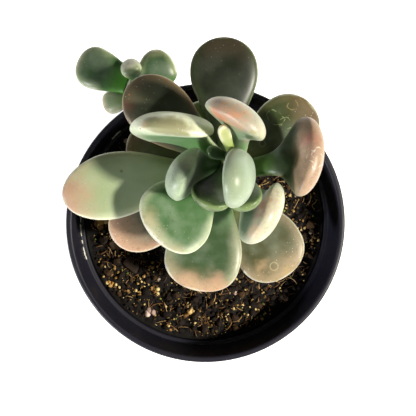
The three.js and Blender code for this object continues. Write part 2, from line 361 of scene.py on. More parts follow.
def srgb(code: str) -> tuple[float, float, float, float]:
    """A colour's hex code turned to linear red, green, blue and alpha."""
    parts = [int(code[k : k + 2], 16) / 255 for k in (1, 3, 5)]
    linear = [c / 12.92 if c <= 0.04045 else ((c + 0.055) / 1.055) ** 2.4 for c in parts]
    return (*linear, 1.0)


class Nodes:
    """The node tree of a new material, with patterns on object coordinates."""

    def __init__(self, name: str) -> None:
        """Makes an empty material of this name."""
        self.made = bpy.data.materials.new(name)
        self.made.use_nodes = True
        self.tree = self.made.node_tree
        self.tree.nodes.clear()

    @cached_property
    def coords(self) -> NodeSocket:
        """Object coordinates."""
        return self.add("TexCoord", output="Object")

    def add(
        self, kind: str, feeds: dict[str | int, Any] | list[Any] = (), output: str | int = 0, **settings: Any
    ) -> NodeSocket | None:
        """Adds one node with its settings and links.

        Args:
            kind: Blender's name of the shader node.
            feeds: a value or a linked output for each input, by its key or in order.
            output: the output that is wanted.
            settings: values of the node's own properties.

        Returns:
            That output, or None where the node has none.
        """
        node = self.tree.nodes.new(f"ShaderNode{kind}")
        for key, value in settings.items():
            setattr(node, key, value)
        for key, value in feeds.items() if isinstance(feeds, dict) else enumerate(feeds):
            if isinstance(value, NodeSocket):
                self.tree.links.new(value, node.inputs[key])
            else:
                node.inputs[key].default_value = value
        return node.outputs[output] if node.outputs else None

    def scaled(self, size: float, **more: float) -> dict[str, Any]:
        """Feeds of a pattern whose unit is so many millimetres."""
        return {"Vector": self.coords, "Scale": 1 / (size * MM), **more}

    def patches(self, size: float, low: float, high: float, detail: float = 3.0) -> NodeSocket:
        """A mask of soft patches: noise of one patch size, spread between two levels.

        Args:
            size: width of a patch in millimetres.
            low: noise level that gives 0.
            high: noise level that gives 1.
            detail: how many finer layers the noise has.

        Returns:
            The mask.
        """
        noise = self.add("TexNoise", self.scaled(size, Detail=detail))
        return self.add("MapRange", [noise, low, high], **SMOOTH)

    def specks(self, spacing: float, radius: float, share: float) -> NodeSocket:
        """A mask of small round dots, one in each of a share of random cells.

        Args:
            spacing: mean distance of the cells in millimetres.
            radius: radius of a dot in millimetres, its core at 0.4 of it.
            share: part of the cells that have a dot.

        Returns:
            The mask.
        """
        away = self.add("TexVoronoi", self.scaled(spacing), "Distance")
        dot = self.add("MapRange", [away, radius / spacing, 0.4 * radius / spacing], **SMOOTH)
        chosen = self.add("Math", [away.node.outputs["Color"], share], operation="LESS_THAN")
        return self.add("Math", [dot, chosen], **TIMES)

    def grain(self, size: float, detail: float, strength: float, depth: float) -> NodeSocket:
        """Fine relief: noise of one grain size that tilts the surface.

        Args:
            size: width of a grain in millimetres.
            detail: how many finer layers the noise has.
            strength: share of the relief that shows.
            depth: height of a grain in millimetres.

        Returns:
            The tilted normal.
        """
        noise = self.add("TexNoise", self.scaled(size, Detail=detail))
        return self.add("Bump", {"Height": noise, "Strength": strength, "Distance": depth * MM})

    def layered(self, base: str, cover: list[tuple[NodeSocket, str]]) -> NodeSocket:
        """A base colour with further colours laid over it, each through its own mask.

        Args:
            base: hex code of the lowest colour.
            cover: mask and hex code of each further colour.

        Returns:
            The colour.
        """
        colour = srgb(base)
        for share, code in cover:
            feeds = {MIX_SHARE: share, MIX_FIRST: colour, MIX_SECOND: srgb(code)}
            colour = self.add("Mix", feeds, MIX_OUT, data_type="RGBA")
        return colour

    def close(self, feeds: dict[str, Any], **settings: Any) -> Material:
        """Ends the tree in a surface with these values, and gives the material."""
        self.add("OutputMaterial", [self.add("BsdfPrincipled", feeds, **settings)])
        return self.made


# Finishes

class Trace(Enum):
    """Shapes of the marks on a leaf."""

    SPOT = "spot"
    RING = "ring"
    ARC = "arc"
    BLOT = "blot"


SPOT, RING, ARC, BLOT = Trace


@dataclass(frozen=True)
class Mark:
    """One mark on a leaf, on its outer face if outside is true.

    Its place is given as on the leaf: along runs from seat to tip, across from edge to edge. Blots and arcs
    sway by noise of one size, rings and arcs are lines that fade from their core, and arcs are broken.
    """

    trace: Trace
    along: float
    across: float
    radius: float
    colour: str
    strength: float = 0.8
    outside: bool = False

    sway: float = 1.4
    sway_size: float = 3.0
    spot_core: float = 0.35
    blot_core: float = -0.1
    line_half: float = 0.32
    line_core: float = 0.08
    break_size: float = 1.6

    def angle(self) -> float:
        """Angle round the leaf's section at the mark."""
        return math.acos(self.across) * (-1 if self.outside else 1)

    def mask(self, nodes: Nodes, centre: ndarray) -> NodeSocket:
        """Draws the mark from the distance to its centre.

        Args:
            nodes: the skin's node tree.
            centre: the mark's middle in millimetres.

        Returns:
            The mask.
        """
        radius = self.radius * MM
        away = nodes.add("VectorMath", [nodes.coords, tuple(centre * MM)], "Value", operation="DISTANCE")
        if self.trace in (BLOT, ARC):
            uneven = nodes.add("TexNoise", nodes.scaled(self.sway_size, Detail=1.0))
            sway = self.sway * radius
            shift = nodes.add("Math", [uneven, sway, -sway / 2], **TIMES_PLUS)
            away = nodes.add("Math", [away, shift], operation="ADD")
        if self.trace in (SPOT, BLOT):
            core = self.spot_core if self.trace is SPOT else self.blot_core
            shape = nodes.add("MapRange", [away, radius, core * radius], **SMOOTH)
        else:
            off = nodes.add("Math", [away, radius], operation="SUBTRACT")
            off = nodes.add("Math", [off], operation="ABSOLUTE")
            shape = nodes.add("MapRange", [off, self.line_half * MM, self.line_core * MM], **SMOOTH)
        if self.trace is ARC:
            shape = nodes.add("Math", [shape, nodes.patches(self.break_size, 0.46, 0.58)], **TIMES)
        return nodes.add("Math", [shape, self.strength], **TIMES)


@dataclass(frozen=True)
class LeafSkin:
    """Living leaf skin under a waxy bloom, grown, never polished.

    The face's green is darkened as painted shade, where the face looks up, away from the low side light, or
    lies in other leaves' shadow. A pale rim towards the margin is painted rim light, and a near-white line
    along the outline is a painted highlight. The outer side is pale with its wax bloom, and lightened further
    as painted light. Sun flushes the tip. Light that enters the watery flesh comes out green a few
    millimetres away.
    Freckles are dark, speckles pale where the wax has worn.
    """

    face: str = "#5f7c50"
    base: str = "#5a8040"
    # outer is the outer side's pale bloom, lightened further as painted light; rim is the colour of the
    # painted rim light along the margin; edge is the colour of the painted highlight along the outline.
    outer: str = "#a3b093"
    rim: str = "#b9bfa0"
    tip: str = "#b3937a"
    edge: str = "#e9ecd9"
    rim_light_width: float = 5.0
    rim_light_strength: float = 0.8
    outer_strength: float = 0.85
    tip_start: float = 0.72
    tip_full: float = 1.0
    tip_strength: float = 0.85
    edge_highlight_strength: float = 0.5
    bloom: float = 0.18
    speckle: float = 0.3
    freckle: float = 0.35
    roughness: float = 0.4
    roughness_swing: float = 0.1
    sheen: float = 0.25
    sheen_roughness: float = 0.4
    sheen_colour: str = "#f1f4ea"
    bloom_colour: str = "#c9d6c4"
    bloom_size: float = 9.0
    mottle_size: float = 1.3
    mottle_strength: float = 0.3
    wander_size: float = 7.0
    grain_size: float = 0.5
    grain_strength: float = 0.18
    grain_depth: float = 0.1
    ior: float = 1.45
    flesh_share: float = 0.4
    flesh_radius: tuple[float, float, float] = (0.7, 1.0, 0.35)
    flesh_depth: float = 1.6

    def layers(self) -> tuple[tuple[str, float, float, float, float, str], ...]:
        """Colours laid over the face's green, from the lowest.

        Returns:
            For each: the attribute it follows, how far its border wanders, where it starts, where it is
            full, its strength and its colour.
        """
        return (
            ("along", 0.0, 0.5, 0.08, 1.0, self.base),
            # the outer side's pale bloom, lightened further as painted light
            ("rise", 0.5, 0.2, -0.35, self.outer_strength, self.outer),
            # painted rim light towards the margin
            ("margin", 3.0, self.rim_light_width, 0.0, self.rim_light_strength, self.rim),
            ("along", 0.24, self.tip_start, self.tip_full, self.tip_strength, self.tip),
            # painted highlight along the outline
            ("margin", 1.0, 1.1, 0.1, self.edge_highlight_strength, self.edge),
        )

    def dots(self) -> tuple[tuple[float, float, float, float, str], ...]:
        """Spacing, radius, share, strength and colour of the freckles and the speckles."""
        return (0.8, 0.3, 0.4, self.freckle, "#4f4630"), (1.1, 0.26, 0.4, self.speckle, "#efe3d0")

    def material(self, name: str, marks: tuple[tuple[Mark, ndarray], ...] = ()) -> Material:
        """Builds the material from the leaf's own attributes and object coordinates.

        Args:
            name: the material's name.
            marks: marks with the middle of each in millimetres.

        Returns:
            The material.
        """
        nodes = Nodes(name)
        keys = ("along", "rise", "margin")
        places = {key: nodes.add("Attribute", output="Fac", attribute_name=key) for key in keys}
        wander = nodes.add("TexNoise", nodes.scaled(self.wander_size, Detail=4.0))

        # Wax lies in broad soft patches under the other colours, each of which has an uneven border.
        wax = nodes.add("Math", [nodes.patches(self.bloom_size, 0.35, 0.75), self.bloom], **TIMES)
        cover = [(wax, self.bloom_colour)]
        for key, sway, start, full, strength, code in self.layers():
            place = nodes.add("Math", [wander, sway, places[key]], **TIMES_PLUS)
            levels = [place, start + sway / 2, full + sway / 2, 0, strength]
            cover.append((nodes.add("MapRange", levels, **SMOOTH), code))

        # A fine mottling of the face's green shows through, and dots gather mostly towards the tip.
        mottle = nodes.patches(self.mottle_size, 0.5, 0.8, 5.0)
        cover.append((nodes.add("Math", [mottle, self.mottle_strength], **TIMES), self.face))
        for spacing, radius, share, strength, code in self.dots():
            towards_tip = nodes.add("MapRange", [places["along"], 0.5, 1.0, 0, strength], **SMOOTH)
            dots = nodes.specks(spacing, radius, share)
            cover.append((nodes.add("Math", [dots, towards_tip], **TIMES), code))
        cover.extend((mark.mask(nodes, centre), mark.colour) for mark, centre in marks)

        # The skin's cells are too fine to show, so the grain is drawn coarser than they are.
        dull, glossy = self.roughness + self.roughness_swing, self.roughness - self.roughness_swing
        feeds = {
            "Base Color": nodes.layered(self.face, cover),
            "Roughness": nodes.add("MapRange", [wander, 0, 1, glossy, dull]),
            "Normal": nodes.grain(self.grain_size, 3.0, self.grain_strength, self.grain_depth),
            "IOR": self.ior,
            "Subsurface Weight": self.flesh_share,
            "Subsurface Radius": self.flesh_radius,
            "Subsurface Scale": self.flesh_depth * MM,
            "Sheen Weight": self.sheen,
            "Sheen Roughness": self.sheen_roughness,
            "Sheen Tint": srgb(self.sheen_colour),
        }
        return nodes.close(feeds, subsurface_method="RANDOM_WALK")


@dataclass(frozen=True)
class StemBark:
    """Young succulent stem, green-brown and dull, with paler scars where leaves have dropped."""

    green: str = "#7c8a58"
    scar: str = "#b09a74"
    scar_size: float = 2.5
    scar_strength: float = 0.5
    scar_depth: float = 0.3
    roughness: float = 0.65
    flesh_share: float = 0.15
    flesh_depth: float = 1.5

    def material(self, name: str) -> Material:
        """Builds the material on object coordinates.

        Args:
            name: the material's name.

        Returns:
            The material.
        """
        nodes = Nodes(name)
        scars = nodes.patches(self.scar_size, 0.52, 0.62)
        return nodes.close({
            "Base Color": nodes.layered(self.green, [(scars, self.scar)]),
            "Normal": nodes.add(
                "Bump", {"Height": scars, "Strength": self.scar_strength, "Distance": self.scar_depth * MM}
            ),
            "Roughness": self.roughness,
            "Subsurface Weight": self.flesh_share,
            "Subsurface Scale": self.flesh_depth * MM,
        })


@dataclass(frozen=True)
class MouldedPlastic:
    """Black polypropylene, injection-moulded with a satin face that gives broad soft lights.

    Handling leaves it slightly scuffed, and a film and specks of dust keep the black from being even.
    """

    black: str = "#1c1c27"
    dust: str = "#6d6a68"
    film_size: float = 14.0
    film_strength: float = 0.06
    speck_spacing: float = 5.0
    speck_radius: float = 0.28
    speck_share: float = 0.22
    speck_strength: float = 0.7
    scuff_size: float = 4.0
    smoothest: float = 0.34
    dullest: float = 0.58
    grain_size: float = 0.4
    grain_strength: float = 0.12
    grain_depth: float = 0.08
    ior: float = 1.49
    specular: float = 0.32

    def material(self, name: str) -> Material:
        """Builds the material on object coordinates.

        Args:
            name: the material's name.

        Returns:
            The material.
        """
        nodes = Nodes(name)
        film = nodes.patches(self.film_size, 0.45, 0.85, 6.0)
        film = nodes.add("Math", [film, self.film_strength], **TIMES)
        dots = nodes.specks(self.speck_spacing, self.speck_radius, self.speck_share)
        dots = nodes.add("Math", [dots, self.speck_strength], **TIMES)
        dust = nodes.add("Math", [film, dots], operation="MAXIMUM")
        scuffs = nodes.add("TexNoise", nodes.scaled(self.scuff_size, Detail=8.0))
        return nodes.close({
            "Base Color": nodes.layered(self.black, [(dust, self.dust)]),
            "Roughness": nodes.add("MapRange", [scuffs, 0, 1, self.smoothest, self.dullest]),
            "Normal": nodes.grain(self.grain_size, 2.0, self.grain_strength, self.grain_depth),
            "IOR": self.ior,
            "Specular IOR Level": self.specular,
        })


@dataclass(frozen=True)
class LooseBits:
    """Loose natural matter, such as peat, bark or grit: matt, each bit a shade of its own.

    The attribute tint picks a bit's place between the darkest and the lightest shade, and noise moves it.
    """

    shades: tuple[tuple[float, str], ...]
    roughness: float = 0.85
    specular: float = 0.3
    grain: float = 0.6
    spread: float = 0.3
    relief: float = 0.6
    relief_depth: float = 0.15

    def material(self, name: str) -> Material:
        """Builds the material from the attribute tint and object coordinates.

        Args:
            name: the material's name.

        Returns:
            The material.
        """
        nodes = Nodes(name)
        tint = nodes.add("Attribute", output="Fac", attribute_name="tint")
        noise = nodes.add("TexNoise", nodes.scaled(self.grain, Detail=3.0))
        tint = nodes.add("Math", [noise, self.spread, tint], **TIMES_PLUS)
        ramp = nodes.add("ValToRGB", [nodes.add("Math", [tint, self.spread / 2], operation="SUBTRACT")])
        stops = ramp.node.color_ramp.elements
        for k, (place, code) in enumerate(self.shades):
            stop = stops[k] if k < 2 else stops.new(place)
            stop.position, stop.color = place, srgb(code)
        return nodes.close({
            "Base Color": ramp,
            "Normal": nodes.add(
                "Bump", {"Height": noise, "Strength": self.relief, "Distance": self.relief_depth * MM}
            ),
            "Roughness": self.roughness,
            "Specular IOR Level": self.specular,
        })


PEAT = LooseBits(((0.0, "#040302"), (0.5, "#150e09"), (0.8, "#3a2a18"), (1.0, "#7d6032")))
CRUMB = LooseBits(
    ((0.0, "#0a0705"), (0.4, "#24180f"), (0.66, "#5f4526"), (0.85, "#b08e4c"), (1.0, "#e0c88a"))
)
BARK = LooseBits(((0.0, "#1c120b"), (0.5, "#3f2a19"), (1.0, "#7a5632")), 0.75, 0.4, 1.2)
GOLD = LooseBits(((0.0, "#4a3218"), (0.4, "#a87c3c"), (1.0, "#efd894")), 0.6, 0.5, 0.7)
PINK = LooseBits(((0.0, "#a58a80"), (1.0, "#efdcd2")), 0.6, 0.5, 0.9)
LIME = LooseBits(((0.0, "#b9b6ae"), (1.0, "#f4f2ea")), 0.7, 0.4, 0.5)
FIBRE = LooseBits(((0.0, "#3a2616"), (0.5, "#8a6236"), (1.0, "#cfae7c")), 0.7, 0.4, 1.5)
GRIT = LooseBits(((0.0, "#6f6455"), (0.5, "#b5a68c"), (1.0, "#e0d6c0")), 0.6, 0.5, 0.8)
MOSS = LooseBits(((0.0, "#4a5a1e"), (1.0, "#9fae4a")), 0.8, 0.3, 0.8)


# Pot

@dataclass
class Pot:
    """Tapered growing pot with a collar, a rounded lip, an inner ledge and drain holes in a flat floor.

    Lime holds, for each stretch of the collar with dried lime, its two bearings and how many flakes it has.
    The flakes' rise, length and height are random: least, span and power.
    """

    rim_radius: float = 52.5
    lip_width: float = 2.3
    collar_depth: float = 13.0
    collar_inner_radius: float = 48.5
    ledge_inner_radius: float = 46.9
    ledge_fall: float = 0.3
    wall: float = 1.4
    floor: float = 1.8
    floor_inner_radius: float = 35.6
    drain_count: int = 6
    drain_radius: float = 3.5
    drain_ring_radius: float = 25.0
    drain_sides: int = 40
    segments: int = 240
    sharp_degrees: float = 35.0
    lime: tuple[tuple[float, float, int], ...] = ((172, 197, 30), (133, 139, 9))
    lime_seed: int = 5
    flake_rise: tuple[float, float, float] = (0.3, 1.2, 2)
    flake_length: tuple[float, float, float] = (0.25, 0.8, 2)
    flake_height: tuple[float, float, float] = (0.18, 0.25, 1)
    flake_thick: float = 0.25
    flake_sink: float = 0.15
    flake_tint: float = 0.8
    finish: MouldedPlastic = field(default_factory=MouldedPlastic)

    @property
    def ledge_height(self) -> float:
        """Height of the foot of the collar."""
        return RIM_HEIGHT - self.collar_depth

    def inner_radius(self, height: float) -> float:
        """Inner radius of the tapered wall at a height."""
        share = (height - self.floor) / (self.ledge_height - self.ledge_fall - self.floor)
        return self.floor_inner_radius + (self.ledge_inner_radius - self.floor_inner_radius) * share

    def corners(self) -> list[tuple[float, float, float]]:
        """Radius, height and rounding of each corner of the section, from below the axis round to above.

        Returns:
            The corners.
        """
        top, ledge, inner = RIM_HEIGHT, self.ledge_height, self.rim_radius - self.lip_width
        return [
            (0.0, 0.0, 0.0),
            (self.inner_radius(0) + self.wall, 0.0, 1.3),
            (self.inner_radius(ledge - 4) + self.wall, ledge - 4, 1.0),
            (self.collar_inner_radius + self.wall, ledge - 2.4, 0.8),
            (inner + self.wall - 0.2, top - 4.2, 0.7),
            (self.rim_radius, top - 3.1, 0.9),
            (self.rim_radius, top, 1.25),
            (inner, top, 0.9),
            (self.collar_inner_radius, ledge, 0.5),
            (self.ledge_inner_radius, ledge - self.ledge_fall, 0.5),
            (self.floor_inner_radius, self.floor, 1.2),
            (0.0, self.floor, 0.0),
        ]

    def section(self) -> ndarray:
        """Radius and height of the section's points, each corner rounded by a parabola set back from it.

        Returns:
            The points.
        """
        corners = np.array(self.corners())
        share = np.linspace(0, 1, 9)[:, None]
        pieces = [corners[:1, :2]]
        for before, (r, z, back), after in zip(corners[:-2], corners[1:-1], corners[2:]):
            corner = np.array([r, z])
            start = corner + back * unit(before[:2] - corner)
            end = corner + back * unit(after[:2] - corner)
            pieces.append((1 - share) ** 2 * start + 2 * share * (1 - share) * corner + share**2 * end)
        return np.concatenate([*pieces, corners[-1:, :2]])

    def build(self) -> Object:
        """Turns the section about the axis and cuts the drain holes.

        Returns:
            The pot.
        """
        section = self.section()
        ring = section[1:-1]
        wall = lift(ring[:, :1, None] * polar(full_turn(self.segments)), ring[:, 1:]).reshape(-1, 3)
        points = np.concatenate([[UP * section[0, 1]], wall, [UP * section[-1, 1]]])
        pot = make_mesh("growing_pot", points, ring_faces(len(ring), self.segments))
        cutters = self.drain_cutters()
        drill = pot.modifiers.new("drain holes", "BOOLEAN")
        drill.object = cutters
        bpy.context.view_layer.update()
        drilled = bpy.data.meshes.new_from_object(pot.evaluated_get(bpy.context.evaluated_depsgraph_get()))
        pot.modifiers.clear()
        pot.data = drilled
        bpy.data.objects.remove(cutters)
        pot.data.materials.clear()
        pot.data.shade_smooth()
        pot.data.set_sharp_from_angle(angle=math.radians(self.sharp_degrees))
        return pot

    def drain_cutters(self) -> Object:
        """Upright cylinders through the floor, one for each drain hole.

        Returns:
            The cylinders as one object.
        """
        disc = polar(full_turn(self.drain_sides), self.drain_radius)
        low, high = -1.0, self.floor + 1
        base = np.concatenate([[UP * low], lift(disc, low), lift(disc, high), [UP * high]])
        bearing = full_turn(self.drain_count) + np.pi / self.drain_count
        points = base + lift(polar(bearing, self.drain_ring_radius), 0.0)[:, None]
        faces = [repeat_faces(part, self.drain_count, len(base)) for part in ring_faces(2, self.drain_sides)]
        return make_mesh("drain_cutters", points.reshape(-1, 3), faces)

    def build_lime(self) -> Object:
        """Dried lime from watering: thin flakes on the foot of the collar, in rows over a few bearings.

        Returns:
            The flakes as one object.
        """
        draw = np.random.default_rng(self.lime_seed)
        stretches = [low + (high - low) * draw.random(count) for low, high, count in self.lime]
        bearing = np.radians(np.concatenate(stretches))
        count = len(bearing)
        rise = self.ledge_height + skewed(draw, count, *self.flake_rise)
        centres = lift(polar(bearing, self.collar_inner_radius - self.flake_sink), rise)
        long, high = (skewed(draw, count, *size) for size in (self.flake_length, self.flake_height))
        sizes = np.stack([np.full(count, self.flake_thick), long, high], axis=-1)
        tints = np.full(count, self.flake_tint)
        return scatter("lime_flakes", pebble(2), centres, turned(2, bearing), sizes, tints)

    def dress(self, pot: Object, flakes: Object) -> None:
        """Gives the pot and its lime their finishes and their places in the frame."""
        settle(pot, "pot", self.finish.material("moulded black polypropylene"), node="pot")
        settle(flakes, "pot", LIME.material("dried lime"))


# Soil

Spread = tuple[float, float, float]


@dataclass(frozen=True)
class Litter:
    """Loose bits of one kind. Radius and shade are random: least, span and power.

    Inset is their least distance from the wall, and rounds the fineness of a bit's mesh. The shades are
    drawn before or after the places.
    """

    finish: str
    name: str
    count: int
    radius: Spread
    shade: Spread
    inset: float
    rounds: int
    shades_first: bool = False


@dataclass
class Soil:
    """Peat and bark mix that fills the pot to its ledge, with loose bits lying on it.

    Crumb layers hold height, width and seed of each size of crumb that shapes the bed. Heaps hold x, y,
    spread, count and mean radius of the bits of one finish that lie together.
    """

    pot: Pot
    mound: float = 2.0
    roughness: float = 0.7
    below_ledge: float = 0.8
    gap: float = 0.3
    grid: int = 270
    swell: float = 1.6
    swell_width: float = 9.0
    swell_seed: int = 5
    crumb_layers: tuple[tuple[float, float, int], ...] = ((1.5, 4.2, 11), (0.9, 1.9, 23), (0.35, 0.9, 37))
    crumb_sink: float = 1.5
    seed: int = 71
    chip_count: int = 18
    chip_size: tuple[float, float, float] = (6.5, 3.4, 2.0)
    chip_tilt: float = 12.0
    chip_squareness: float = 0.45
    chip_growth: Spread = (0.8, 0.5, 1)
    chip_wobble: float = 0.16
    chip_waves: float = 2.6
    chip_shade: Spread = (0.15, 0.6, 1)
    chip_scale: float = 0.52
    chip_rise: float = 0.4
    fibre_count: int = 700
    fibre_stations: int = 6
    fibre_inset: float = 2.5
    fibre_length: Spread = (2.0, 5.0, 2)
    fibre_radius: Spread = (0.1, 0.13, 1)
    fibre_bend: float = 1.6
    fibre_slope: float = 0.9
    fibre_rise: float = 0.35
    fibre_arch: float = 0.25
    bit_flats: int = 5
    bit_depth: Spread = (0.55, 0.4, 1)
    bit_stretch: Spread = (0.7, 0.55, 1)
    bit_rise: float = 0.3
    litter: tuple[Litter, ...] = (
        Litter("crumb", "soil_crumbs", 4600, (0.22, 0.5, 2), (0, 1, 1.5), 1.2, 1, True),
        Litter("clod", "soil_clods", 520, (0.8, 1.1, 2), (0, 0.55, 1), 2.2, 2, True),
        Litter("grit", "mineral_grit", 50, (0.25, 0.9, 3), (0, 1, 1), 2, 2),
        Litter("moss", "moss_bits", 110, (0.3, 0.4, 1), (0, 1, 1), 3, 1),
    )
    heap_inset: float = 1.2
    heap_growth: Spread = (0.4, 0.9, 1)
    heap_rounds: int = 3
    heaps: tuple[tuple[str, tuple[tuple[float, float, float, int, float], ...]], ...] = (
        ("gold", (
            (-40.2, 0.2, 1.3, 14, 1.2), (-36.5, -24.5, 1.6, 14, 0.7), (-22.8, -17.5, 1.9, 26, 0.55),
            (-19.3, -27.0, 0.9, 8, 0.8), (-27.0, -24.5, 2.2, 16, 0.5), (-6.0, -36.0, 1.5, 16, 0.9),
            (-14.6, -41.0, 0.8, 7, 0.7), (0.5, -38.5, 1.8, 12, 0.45), (8.6, -38.0, 1.6, 14, 0.5),
            (19.0, -35.0, 2.2, 14, 0.5), (26.0, -30.0, 2.0, 14, 0.5), (41.0, -8.0, 1.4, 8, 0.5),
            (38.5, -2.0, 2.4, 14, 0.45), (18.0, -14.0, 1.6, 10, 0.8),
        )),
        ("pink", ((-22.0, -35.4, 0.8, 7, 1.0), (-30.4, 31.6, 0.4, 3, 1.0), (11.7, -27.6, 0.4, 3, 0.5))),
    )

    @cached_property
    def draw(self) -> Generator:
        """Source of the random numbers, drawn in one fixed order."""
        return np.random.default_rng(self.seed)

    @property
    def edge_height(self) -> float:
        """Height of the soil at the wall."""
        return self.pot.ledge_height - self.below_ledge

    @property
    def radius(self) -> float:
        """Radius of the soil's top."""
        return self.pot.inner_radius(self.edge_height) - self.gap

    def height(self, places: ndarray) -> ndarray:
        """Height of the soil without its crumbs: a mound with a few waves that fade out at the wall.

        Args:
            places: x and y in millimetres.

        Returns:
            One height a place.
        """
        x, y = places[..., 0], places[..., 1]
        out = np.hypot(x, y) / self.pot.ledge_inner_radius
        waves = np.sin(0.31 * x + 1.3) * np.cos(0.27 * y - 0.4) + 0.6 * np.sin(0.73 * x - 0.58 * y)
        return self.edge_height + self.mound * (1 - out**2) + self.roughness * waves * (1 - out**6)

    def relief(self, places: ndarray) -> ndarray:
        """Height of the crumbs over the soil: three sizes of crumbs on a slow swell, in millimetres.

        Args:
            places: x and y in millimetres.

        Returns:
            One height a place.
        """
        swell = self.swell * (rough(places, self.swell_width, self.swell_seed) - 0.5)
        heights = (tall * crumbs(places, wide, seed) for tall, wide, seed in self.crumb_layers)
        return swell + sum(heights) - self.crumb_sink

    def build_bed(self) -> Object:
        """The soil's body: a square grid pressed into a disc, raised by crumbs, closed down to the floor.

        A grid point (a, b) goes to radius max(|a|, |b|) along its own bearing, so that cells stay even.

        Returns:
            The soil bed.
        """
        line = np.linspace(-1, 1, self.grid)
        a, b = np.meshgrid(line, line, indexing="ij")
        wide = np.abs(a) > np.abs(b)
        reach = np.where(wide, a, b)
        ratio = np.divide(np.where(wide, b, a), reach, out=np.zeros_like(a), where=reach != 0)
        bearing = np.where(wide, np.pi / 4 * ratio, np.pi / 2 - np.pi / 4 * ratio)
        places = polar(bearing, self.radius * reach)
        out = np.linalg.norm(places, axis=-1) / self.radius
        bumps = self.relief(places)
        top = lift(places, self.height(places) + bumps * (1 - out**24)).reshape(-1, 3)
        number = np.arange(self.grid**2).reshape(self.grid, self.grid)
        quads = np.stack([number[:-1, :-1], number[1:, :-1], number[1:, 1:], number[:-1, 1:]], axis=-1)
        brim = np.concatenate([number[:-1, 0], number[-1, :-1], number[:0:-1, -1], number[0, :0:-1]])
        foot_height = self.pot.floor + self.gap
        foot = unit(top[brim] * FLAT) * (self.pot.inner_radius(foot_height) - self.gap) + UP * foot_height
        lower = self.grid**2 + np.arange(len(brim))
        side = np.stack([brim, lower, np.roll(lower, -1), np.roll(brim, -1)], axis=-1)
        middle = np.full(len(brim), self.grid**2 + len(brim))
        fan = np.stack([lower, middle, np.roll(lower, -1)], axis=-1)
        points = np.concatenate([top, foot, [UP * foot_height]])
        # The bed's shade follows its relief: lighter on the crumbs' tops and darker in the hollows between
        # them, as painted shade.
        tint = np.concatenate([np.clip(0.25 + 0.2 * bumps, 0, 1).ravel(), np.full(len(brim) + 1, 0.3)])
        return make_mesh("soil_bed", points, [quads.reshape(-1, 4), side, fan], {"tint": tint})

    def spread(self, count: int, inset: float) -> ndarray:
        """Random places on the disc, kept so many millimetres clear of its edge."""
        out = (self.radius - inset) * np.sqrt(self.draw.random(count))
        return polar(2 * np.pi * self.draw.random(count), out)

    def bits(self, name: str, places: ndarray, radii: ndarray, tints: ndarray, rounds: int) -> Object:
        """Irregular bits lying on the soil: balls stretched unevenly, with a few random flats.

        Args:
            name: the piece's name.
            places: x and y of each bit.
            radii: mean radius of each bit.
            tints: shade of each bit, 0 to 1.
            rounds: fineness of a bit's mesh.

        Returns:
            The bits as one object.
        """
        draw = self.draw
        base, faces = pebble(rounds)
        count = len(places)
        flats = unit(draw.normal(size=(count, self.bit_flats, 3)))
        depth = skewed(draw, (count, self.bit_flats), *self.bit_depth)[:, None]
        reach = np.einsum("ncd,kd->nkc", flats, base)
        cut = np.min(np.where(reach > depth, depth / np.maximum(reach, 1e-6), 1), axis=-1)
        stretch = skewed(draw, (count, 3), *self.bit_stretch)
        rise = self.height(places) + self.relief(places) + self.bit_rise * radii
        turns = random_turns(draw, count)
        shape = (base[None] * cut[..., None], faces)
        return scatter(name, shape, lift(places, rise), turns, radii[:, None] * stretch, tints)

    def build_chips(self) -> Object:
        """Bark chips where the solid soil has them: rounded slabs from a squared-off ball.

        The numbers come from the same stream, state = (1664525 * state + 1013904223) mod 2 ** 32.

        Returns:
            The chips as one object.
        """
        state, numbers, count = self.seed, [], self.chip_count
        for _ in range(5 * count):
            state = (state * 1664525 + 1013904223) % 2**32
            numbers.append(state / 2**32)
        drawn = np.array(numbers).reshape(count, 5).T
        places = polar(2 * np.pi * drawn[1], self.radius * np.sqrt(0.02 + 0.8 * drawn[0]))
        turn = 2 * np.pi * drawn[2]
        tilt = np.radians(self.chip_tilt) * (2 * drawn[3] - 1)
        size = self.chip_growth[0] + self.chip_growth[1] * drawn[4]
        base, faces = pebble(4)
        squared = np.sign(base) * np.abs(base) ** self.chip_squareness
        squared /= np.abs(squared).max(axis=0)
        draw = np.random.default_rng(self.seed)
        waves = np.einsum("nd,kd->nk", draw.normal(size=(count, 3)) * self.chip_waves, base)
        wobble = 1 + self.chip_wobble * np.sin(waves + 6 * draw.random((count, 1)))
        shape = (squared[None] * wobble[..., None] * self.chip_scale, faces)
        turns = turned(2, turn) @ turned(1, tilt) @ turned(0, tilt)
        sizes = np.array(self.chip_size)[None] * size[:, None]
        centres = lift(places, self.height(places) + self.chip_rise)
        tints = skewed(draw, count, *self.chip_shade)
        return scatter("bark_chips", shape, centres, turns, sizes, tints, smooth=True)

